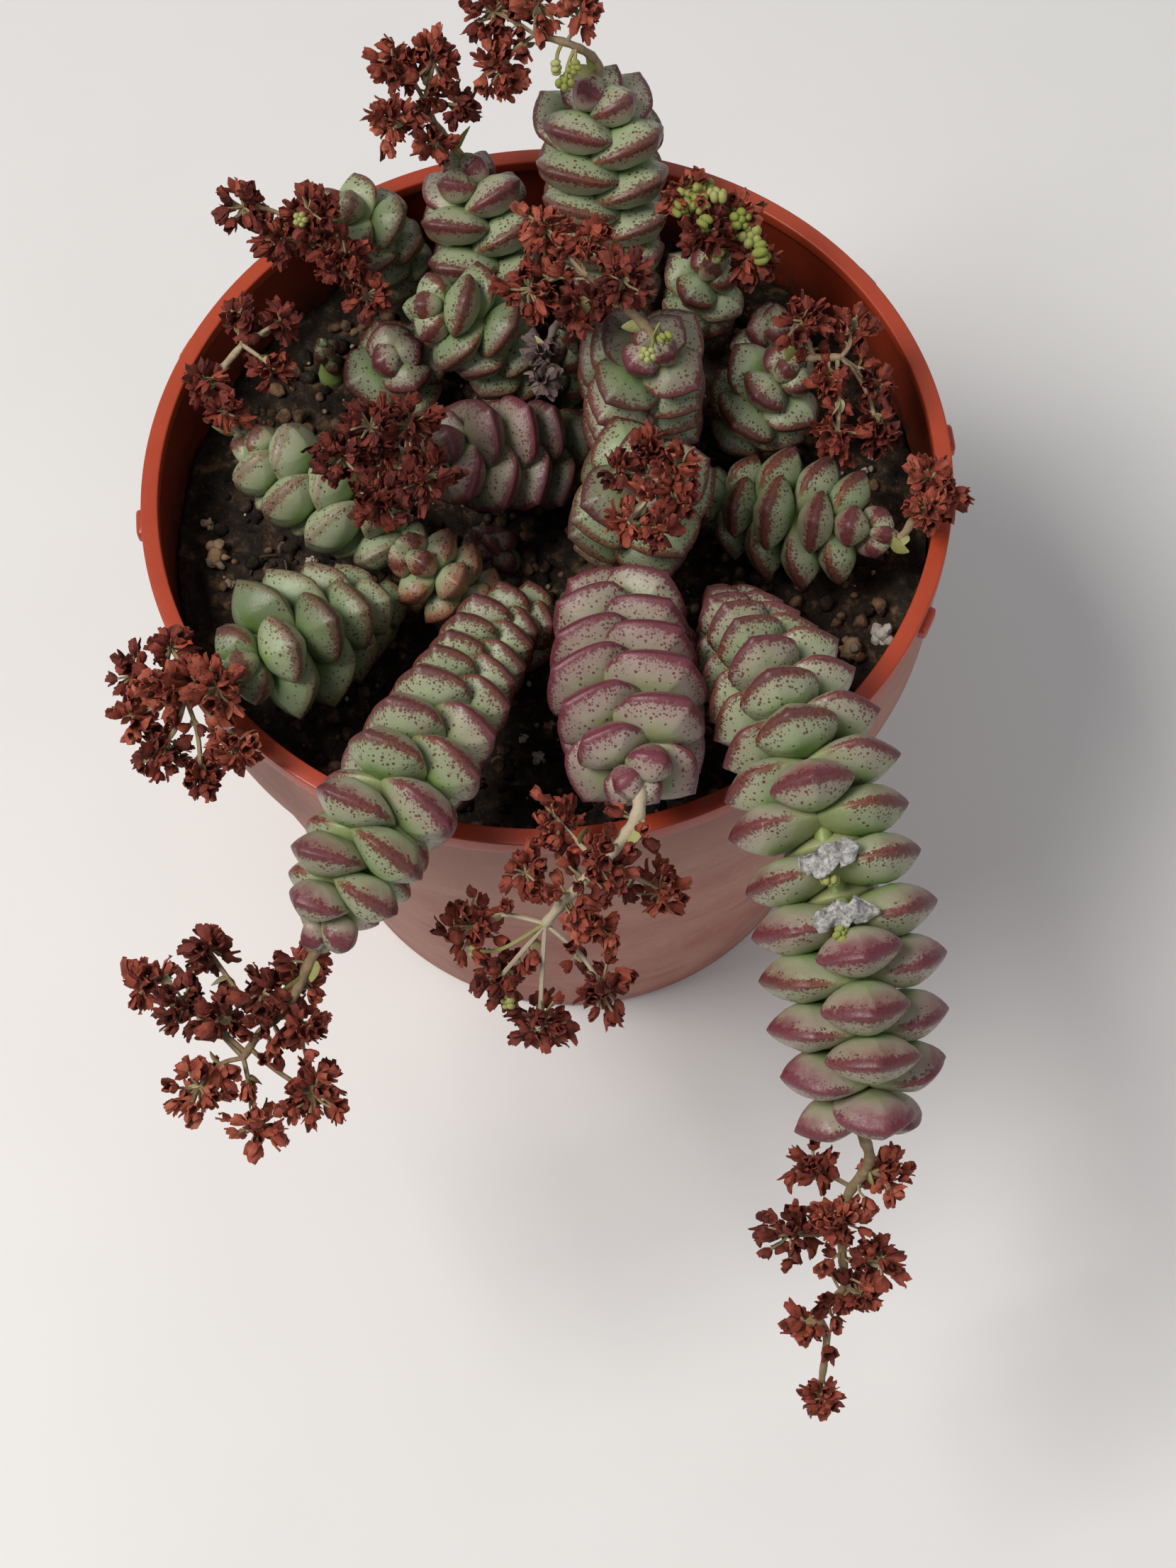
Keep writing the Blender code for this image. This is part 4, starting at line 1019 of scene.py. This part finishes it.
def floret_material():
    """Dry brick-red petals, darker inside from painted shade, with pale tan stalks and olive scales."""
    nodes = Nodes("crassula_dried_floret")
    red, fresh, shade, tone, grey = map(nodes.value, ("red", "fresh", "shade", "tone", "grey"))
    coarse, fine = nodes.noise(1.4, 3.0), nodes.noise(0.35, 3.0, 0.65)
    petals = nodes.ramp(coarse * 0.8 + (tone * 0.5 - 0.2), [
        (0.1, (0.07, 0.013, 0.009)), (0.4, (0.20, 0.036, 0.021)), (0.65, (0.34, 0.075, 0.042)),
        (0.95, (0.50, 0.18, 0.11)),
    ])
    stalk = nodes.ramp(nodes.noise(0.8, 3.0) * 0.7 + (tone - 0.35), [
        (0.1, (0.15, 0.085, 0.05)), (0.5, (0.29, 0.20, 0.125)), (0.9, (0.46, 0.38, 0.28)),
    ])
    colour = nodes.mix(red.span(0.3, 0.6), stalk, petals)
    colour = nodes.mix(fresh * 0.85, colour, nodes.mix(tone, (0.24, 0.29, 0.05), (0.42, 0.43, 0.15)))
    colour = nodes.mix(fine.span(0.62, 0.8, 0.0, 0.35), colour, (0.45, 0.22, 0.15))
    colour = nodes.mix(grey, colour, (0.16, 0.13, 0.12))
    # Painted shade: low shade values darken the colour towards near black, inside the florets and at the
    # petals' feet.
    colour = nodes.mix(shade.span(0.75, 0.1, 0.0, 0.85), colour, (0.03, 0.008, 0.006))
    normal = nodes.bump(nodes.noise(0.45, 3.0, 0.6), 0.12)
    return nodes.finish(colour, fine.span(0.2, 0.8, 0.6, 0.85), normal, Specular_IOR_Level=0.3)


def outer_radius(z):
    """The pot's outside below the lip: a skirt, then a body that tapers to the base."""
    if z >= SKIRT_FOOT:
        return RIM_RADIUS - SKIRT_TAPER * (POT_HEIGHT - z) / SKIRT_DROP
    return BASE_RADIUS + (BODY_TOP - BASE_RADIUS) * z / SKIRT_FOOT


def pot_profile():
    """The pot's section as (radius, height), from the middle of its floor round to its underside."""
    below = SKIRT_FOOT - SKIRT_STEP
    lip_foot = POT_HEIGHT - LIP_DROP
    lip_inside = RIM_RADIUS - LIP_WIDTH
    inside = [(outer_radius(z) - WALL, z) for z in (FLOOR, below, SKIRT_FOOT, lip_foot)]
    outside = [(outer_radius(z), z) for z in (lip_foot - LIP_STEP, SKIRT_FOOT, below)]
    return [
        (0.0, FLOOR),
        *inside,
        (lip_inside, lip_foot + LIP_SLOPE),
        (lip_inside, POT_HEIGHT),
        (RIM_RADIUS, POT_HEIGHT),
        (RIM_RADIUS, lip_foot),
        *outside,
        (BASE_RADIUS, FOOT_HEIGHT),
        (BASE_RADIUS - FOOT_HEIGHT, 0.0),
        (0.0, 0.0),
    ]


def rounded(profile, radius, steps=3):
    """A section with each of its corners drawn to a short round."""
    spots = []
    for before, corner, after in zip(profile, profile[1:], profile[2:]):
        before, corner, after = np.array(before), np.array(corner), np.array(after)
        short = min(radius, np.linalg.norm(before - corner) / 2.2, np.linalg.norm(after - corner) / 2.2)
        first = corner + unit(before - corner) * short
        last = corner + unit(after - corner) * short
        for k in range(steps + 1):
            t = k / steps
            spots.append((1 - t) ** 2 * first + 2 * t * (1 - t) * corner + t * t * last)
    return np.array(spots)


def add_lug(shape, angle):
    """A small rounded tab that stands out under the lip."""
    depth, width, height = LUG_SIZE
    around, rows = LUG_GRID
    angles = circle(around)
    lift = np.linspace(-0.98, 0.98, rows)
    size = (1 - np.abs(lift) ** 6) ** (1 / 6)
    x = size[:, None] * signed_power(np.cos(angles), 0.35) * depth / 2
    y = size[:, None] * signed_power(np.sin(angles), 0.35) * width / 2
    z = lift[:, None] * height / 2 + 0 * x
    place = np.array([RIM_RADIUS + LUG_PROUD - depth / 2, 0.0, POT_HEIGHT - LUG_DROP - height / 2])
    turn = np.array(Matrix.Rotation(angle, 3, "Z"))
    rings = (np.stack([x, y, z], -1) + place) @ turn.T
    ends = (np.array([[0, 0, -height / 2], [0, 0, height / 2]]) + place) @ turn.T
    shape.add_rings(rings, *ends)


def cut_drains(pot):
    """Drain holes through the pot's floor."""
    cutter = Shape()
    for k in range(DRAIN_COUNT):
        angle = math.radians(DRAIN_START_DEG) + 2 * math.pi * k / DRAIN_COUNT
        x, y = DRAIN_CIRCLE * math.cos(angle), DRAIN_CIRCLE * math.sin(angle)
        add_tube(cutter, Track(np.array([(x, y, -FLOOR), (x, y, 2 * FLOOR)])), DRAIN_RADIUS, DRAIN_SIDES)
    drains = cutter.make("drains")
    cut = pot.modifiers.new("drains", "BOOLEAN")
    cut.operation, cut.solver, cut.object = "DIFFERENCE", "EXACT", drains
    bpy.context.view_layer.update()
    mesh = bpy.data.meshes.new_from_object(pot.evaluated_get(bpy.context.evaluated_depsgraph_get()))
    pot.modifiers.clear()
    pot.data = mesh
    bpy.data.objects.remove(drains)
    mesh.shade_smooth()
    mesh.set_sharp_from_angle(angle=math.radians(CREASE_DEG))


def make_pot():
    """The pot: a thin turned shell with a flat lip, a skirt, a foot, lugs and drain holes."""
    section = rounded(pot_profile(), EDGE_ROUND)
    rings = rings_about_z(section[:, :1], section[:, 1:], POT_SIDES)
    wall = Shape()
    wall.add_rings(rings[::-1], np.zeros(3), np.array([0.0, 0.0, FLOOR]))
    pot = wall.make("pot_wall")
    cut_drains(pot)
    lugs = Shape()
    for k in range(LUG_COUNT):
        add_lug(lugs, math.radians(LUG_START_DEG) + 2 * math.pi * k / LUG_COUNT)
    return pot, lugs.make("pot_lugs")


def outside_mask(nodes, x, y, z):
    """1 on the pot's outside and 0 inside, from each point's place beside the middle of the wall."""
    radius = nodes.math("SQRT", x * x + y * y)
    body = z * ((BODY_TOP - BASE_RADIUS) / SKIRT_FOOT) + (BASE_RADIUS - WALL / 2) * MM
    skirt_base = RIM_RADIUS - SKIRT_TAPER * POT_HEIGHT / SKIRT_DROP - WALL / 2
    skirt = z * (SKIRT_TAPER / SKIRT_DROP) + skirt_base * MM
    high = nodes.math("GREATER_THAN", z, (SKIRT_FOOT - SKIRT_STEP / 2) * MM)
    return (radius - (high * (skirt - body) + body)).span(-0.2 * MM, 0.3 * MM)


def pot_material():
    """Terracotta plastic: bleached and smudged outside, redder on the lip and inside, with painted shade on
    the inside wall.
    """
    nodes = Nodes("pot_plastic")
    split = nodes.add("ShaderNodeSeparateXYZ", {"Vector": nodes.space})
    x, y, z = (Value(nodes, socket) for socket in split.outputs)
    outside = outside_mask(nodes, x, y, z)
    lip = z.span((POT_HEIGHT - LIP_DROP - 0.6) * MM, (POT_HEIGHT - LIP_DROP + 0.2) * MM)
    bleached = outside * (1.0 - lip)
    cloud = nodes.noise(22.0, 4.0, 0.6)
    streak = nodes.noise(1.6, 3.0, 0.6, nodes.stretched(1.0, 1.0, 0.16))
    smear = nodes.noise(5.0, 4.0, 0.6, nodes.stretched(0.4, 0.4, 1.2))
    red = nodes.mix(cloud.span(0.3, 0.7), (0.37, 0.045, 0.016), (0.43, 0.060, 0.023))
    dusty = nodes.mix(cloud.span(0.35, 0.65), (0.31, 0.10, 0.070), (0.38, 0.17, 0.125))
    dusty = nodes.mix(smear.span(0.48, 0.72, 0.0, 0.6), dusty, (0.21, 0.08, 0.057))
    dusty = nodes.mix(streak.span(0.55, 0.8, 0.0, 0.3), dusty, (0.44, 0.25, 0.20))
    dusty = nodes.mix(z.span(40 * MM, 104 * MM, 0.0, 0.35), dusty, (0.34, 0.20, 0.155))
    colour = nodes.mix(bleached, red, dusty)
    # Painted shade: the inside wall below the lip is darkened towards a deep red.
    colour = nodes.mix((1.0 - outside - lip).clamped() * 0.45, colour, (0.10, 0.010, 0.004))
    # Darker in patches on the inside wall, strongest at the soil top and fading out 9 mm above it.
    dark_near_soil = z.span((SOIL_TOP + 9) * MM, (SOIL_TOP - 2) * MM) * (1.0 - outside)
    dark_near_soil = dark_near_soil * nodes.noise(3.0, 4.0, 0.7).span(0.35, 0.6)
    colour = nodes.mix(dark_near_soil, colour, (0.05, 0.03, 0.02))
    rough = bleached * 0.28 + nodes.noise(0.5).span(0.3, 0.7, 0.34, 0.42)
    normal = nodes.bump(nodes.noise(9.0), 0.15, nodes.bump(streak, 0.05))
    return nodes.finish(colour, rough, normal, Specular_IOR_Level=0.45)


def soil_height(x, y):
    """The lumpy top of the soil at a place, in millimetres."""
    spot = Vector((x, y, 0.0))
    coarse = noise.noise(spot / 14.0) * 1.5
    lumps = abs(noise.noise(spot / 4.2 + Vector((7, 3, 1)))) * 2.0
    crumbs = noise.noise(spot / 1.6) * 0.55 + noise.noise(spot / 0.8) * 0.25
    return SOIL_TOP - 0.6 + coarse + lumps + crumbs


def soil_radius(z):
    return outer_radius(z) - WALL - CLEARANCE


def make_soil():
    """The soil: a lumpy top that meets the pot's wall, on a plain closed body below."""
    angles = circle(SOIL_SIDES)
    foot = FLOOR + CLEARANCE
    side = [(0.6 * soil_radius(FLOOR), foot), (soil_radius(FLOOR), foot)]
    side.append((soil_radius(SOIL_SHOULDER), SOIL_SHOULDER))
    rows = [[spot] * SOIL_SIDES for spot in side]
    for radius in np.linspace(soil_radius(SOIL_TOP), 0.5, SOIL_RINGS):
        rows.append([(radius, soil_height(radius * math.cos(a), radius * math.sin(a))) for a in angles])
    rows = np.array(rows)
    rings = rings_about_z(rows[..., 0], rows[..., 1], SOIL_SIDES)
    shape = Shape("pale", "tone")
    shape.add_rings(rings, np.array([0, 0, foot]), np.array([0, 0, soil_height(0, 0)]), tone=0.3)
    return shape.make("soil_bed")


def unit_ball():
    """Points and faces of a round lump, to be knocked out of shape."""
    shell = bmesh.new()
    bmesh.ops.create_icosphere(shell, subdivisions=2, radius=1.0)
    points = np.array([vertex.co[:] for vertex in shell.verts])
    faces = [tuple(vertex.index for vertex in face.verts) for face in shell.faces]
    shell.free()
    return points, faces


def in_pot(draw, reach=GRAIN_REACH):
    """A random place on the soil."""
    radius, angle = reach * math.sqrt(draw.uniform(0, 1)), draw.uniform(0, FULL_TURN)
    return radius * math.cos(angle), radius * math.sin(angle)


def on_soil(x, y, rise):
    return np.array([x, y, soil_height(x, y) + rise])


class Grains(Shape):
    """Loose grains and fibres on the soil."""

    def __init__(self):
        super().__init__("pale", "tone")
        self.ball = unit_ball()
        self.draw = np.random.default_rng(GRAIN_SEED)

    def add_lump(self, spot, size, **values):
        """An angular grain: a ball squeezed, cut by a few planes and roughened."""
        draw = self.draw
        points, faces = self.ball
        grain = points * draw.uniform(0.65, 1.1, 3)
        for _ in range(5):
            normal = unit(draw.normal(0, 1, 3))
            past = np.maximum(grain @ normal - draw.uniform(0.45, 0.8), 0.0)
            grain = grain - past[:, None] * normal
        grain = grain * (1 + draw.normal(0, 0.05, (len(points), 1)))
        turn = turned_to(unit(draw.normal(0, 1, 3)), draw.uniform(0, FULL_TURN))
        self.add(grain @ turn.T * size + spot, faces, **values)

    def add_crumb(self):
        draw = self.draw
        x, y = in_pot(draw)
        size = draw.uniform(0.4, 1.0) ** 2 * 1.5 + 0.2
        self.add_lump(on_soil(x, y, size * 0.3), size, tone=draw.uniform(0, 1))

    def add_speck(self):
        draw = self.draw
        x, y = in_pot(draw)
        size = draw.uniform(0.15, 0.55)
        self.add_lump(on_soil(x, y, size), size, pale=draw.uniform(0.4, 1), tone=draw.uniform(0.0, 1))

    def add_pumice(self, x, y, size, tone):
        """A pale grain with smaller lumps all round it."""
        draw = self.draw
        spot = on_soil(x, y, size * 0.45)
        self.add_lump(spot, size * 0.75, pale=1.0, tone=tone)
        for _ in range(PUMICE_LUMPS):
            bump = unit(draw.normal(0, 1, 3)) * size * 0.62
            self.add_lump(spot + bump, size * draw.uniform(0.25, 0.5), pale=draw.uniform(0.6, 1.0),
                          tone=np.clip(tone + draw.uniform(-0.1, 0.4), 0, 1))

    def add_fibre(self):
        draw = self.draw
        x, y = in_pot(draw, FIBRE_REACH)
        angle, length = draw.uniform(0, FULL_TURN), draw.uniform(2, 7)
        end = np.array([x + length * math.cos(angle), y + length * math.sin(angle)])
        if np.linalg.norm(end) <= GRAIN_REACH:
            track = bent_track(on_soil(x, y, 0.5), on_soil(*end, 0.8), 0.12, draw)
            add_tube(self, track, draw.uniform(0.1, 0.25), 5, pale=0.12, tone=draw.uniform(0, 1))


def make_grains():
    """Crumbs, fibres, pale pumice and white specks that lie on the soil."""
    grains = Grains()
    for _ in range(CRUMB_COUNT):
        grains.add_crumb()
    for _ in range(SPECK_COUNT):
        grains.add_speck()
    for grain in PUMICE:
        grains.add_pumice(*grain)
    for _ in range(FIBRE_COUNT):
        grains.add_fibre()
    return grains.make("soil_grains")


def soil_material():
    """Dark peaty soil, with tan and white grains where the piece says so."""
    nodes = Nodes("potting_soil")
    pale, tone = nodes.value("pale"), nodes.value("tone")
    coarse, fine = nodes.noise(3.0, 5.0, 0.65), nodes.noise(0.45, 3.0, 0.65)
    dark = nodes.ramp(tone * 0.4 + (coarse - 0.08), [
        (0.38, (0.006, 0.004, 0.003)), (0.60, (0.034, 0.023, 0.015)), (0.82, (0.24, 0.14, 0.078)),
    ])
    dark = nodes.mix(fine.span(0.58, 0.76, 0.0, 0.6), dark, (0.19, 0.125, 0.08))
    light = nodes.mix(tone, (0.42, 0.27, 0.15), (0.62, 0.60, 0.55))
    light = nodes.mix(nodes.noise(1.0, 3.0).span(0.5, 0.7, 0.0, 0.5), light, (0.28, 0.17, 0.10))
    normal = nodes.bump(nodes.noise(0.9, 4.0, 0.7), 0.5)
    return nodes.finish(nodes.mix(pale, dark, light), fine.span(0.2, 0.8, 0.75, 0.95), normal,
                        Specular_IOR_Level=0.25)


def place_piece(obj, material, slot, *nodes):
    obj.data.materials.clear()
    obj.data.materials.append(material)
    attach(obj, "root")
    if nodes:
        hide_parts(*nodes)


def make_plants():
    leaf, floret = leaf_material(), floret_material()
    for seed, (name, form) in enumerate(STEMS.items()):
        place_piece(make_leaves(name, form, seed), leaf, "leaf", name)
    for seed, (name, form) in enumerate(FLOWERS.items(), FIRST_HEAD_SEED):
        place_piece(make_head(name, form, seed), floret, "dried_floret", name)


def fill_pot():
    plastic, peat = pot_material(), soil_material()
    wall, lugs = make_pot()
    place_piece(wall, plastic, "pot_plastic", "pot")
    place_piece(lugs, plastic, "pot_plastic")
    place_piece(make_soil(), peat, "soil", "soil")
    place_piece(make_grains(), peat, "soil")


def make_camera():
    """The view of the photo: from above the front, rolled a little."""
    tilt = Matrix.Rotation(math.radians(90 - CAMERA_TILT_DEG), 4, "X")
    roll = Matrix.Rotation(math.radians(CAMERA_ROLL_DEG), 4, "Z")
    data = bpy.data.cameras.new("camera")
    data.sensor_width = CAMERA_SENSOR
    data.lens = CAMERA_LENS
    data.clip_start = CAMERA_NEAR_M
    camera = bpy.data.objects.new("camera", data)
    camera.matrix_world = Matrix.Translation(Vector(CAMERA_PLACE) * MM) @ tilt @ roll
    bpy.context.scene.collection.objects.link(camera)
    bpy.context.scene.camera = camera


def make_light(name, place, size, power, colour):
    """A soft square light that faces the pot's rim."""
    data = bpy.data.lights.new(name, "AREA")
    data.size = size
    data.energy = power
    data.color = colour
    light = bpy.data.objects.new(name, data)
    aim = Vector((0, 0, POT_HEIGHT * MM)) - Vector(place)
    light.location = place
    light.rotation_euler = aim.to_track_quat("-Z", "Y").to_euler()
    bpy.context.scene.collection.objects.link(light)


def make_floor():
    """A plain pale floor."""
    mesh = bpy.data.meshes.new("floor")
    spots = [(x * FLOOR_HALF_M, y * FLOOR_HALF_M, 0) for x, y in ((-1, -1), (1, -1), (1, 1), (-1, 1))]
    mesh.from_pydata(spots, [], [(0, 1, 2, 3)])
    floor = bpy.data.objects.new("floor", mesh)
    bpy.context.scene.collection.objects.link(floor)
    nodes = Nodes("floor")
    shade = nodes.mix(nodes.noise(40.0), (0.80, 0.79, 0.78), (0.84, 0.83, 0.82))
    mesh.materials.append(nodes.finish(shade, 0.8))


def make_world():
    """Soft light from all round, and plain colours."""
    world = bpy.data.worlds.new("studio")
    world.use_nodes = True
    background = world.node_tree.nodes["Background"]
    background.inputs["Color"].default_value = WORLD_COLOUR
    background.inputs["Strength"].default_value = WORLD_STRENGTH
    bpy.context.scene.world = world
    bpy.context.scene.view_settings.view_transform = "Standard"


noise.seed_set(NOISE_SEED)
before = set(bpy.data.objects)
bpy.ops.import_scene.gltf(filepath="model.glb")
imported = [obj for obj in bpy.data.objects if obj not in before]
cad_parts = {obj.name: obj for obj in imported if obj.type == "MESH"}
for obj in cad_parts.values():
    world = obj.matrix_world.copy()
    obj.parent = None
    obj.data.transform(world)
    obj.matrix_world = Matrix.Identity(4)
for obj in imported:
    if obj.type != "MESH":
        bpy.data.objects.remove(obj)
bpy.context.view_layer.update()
make_camera()
make_floor()
for light_form in LIGHTS:
    make_light(*light_form)
make_world()
fill_pot()
make_plants()
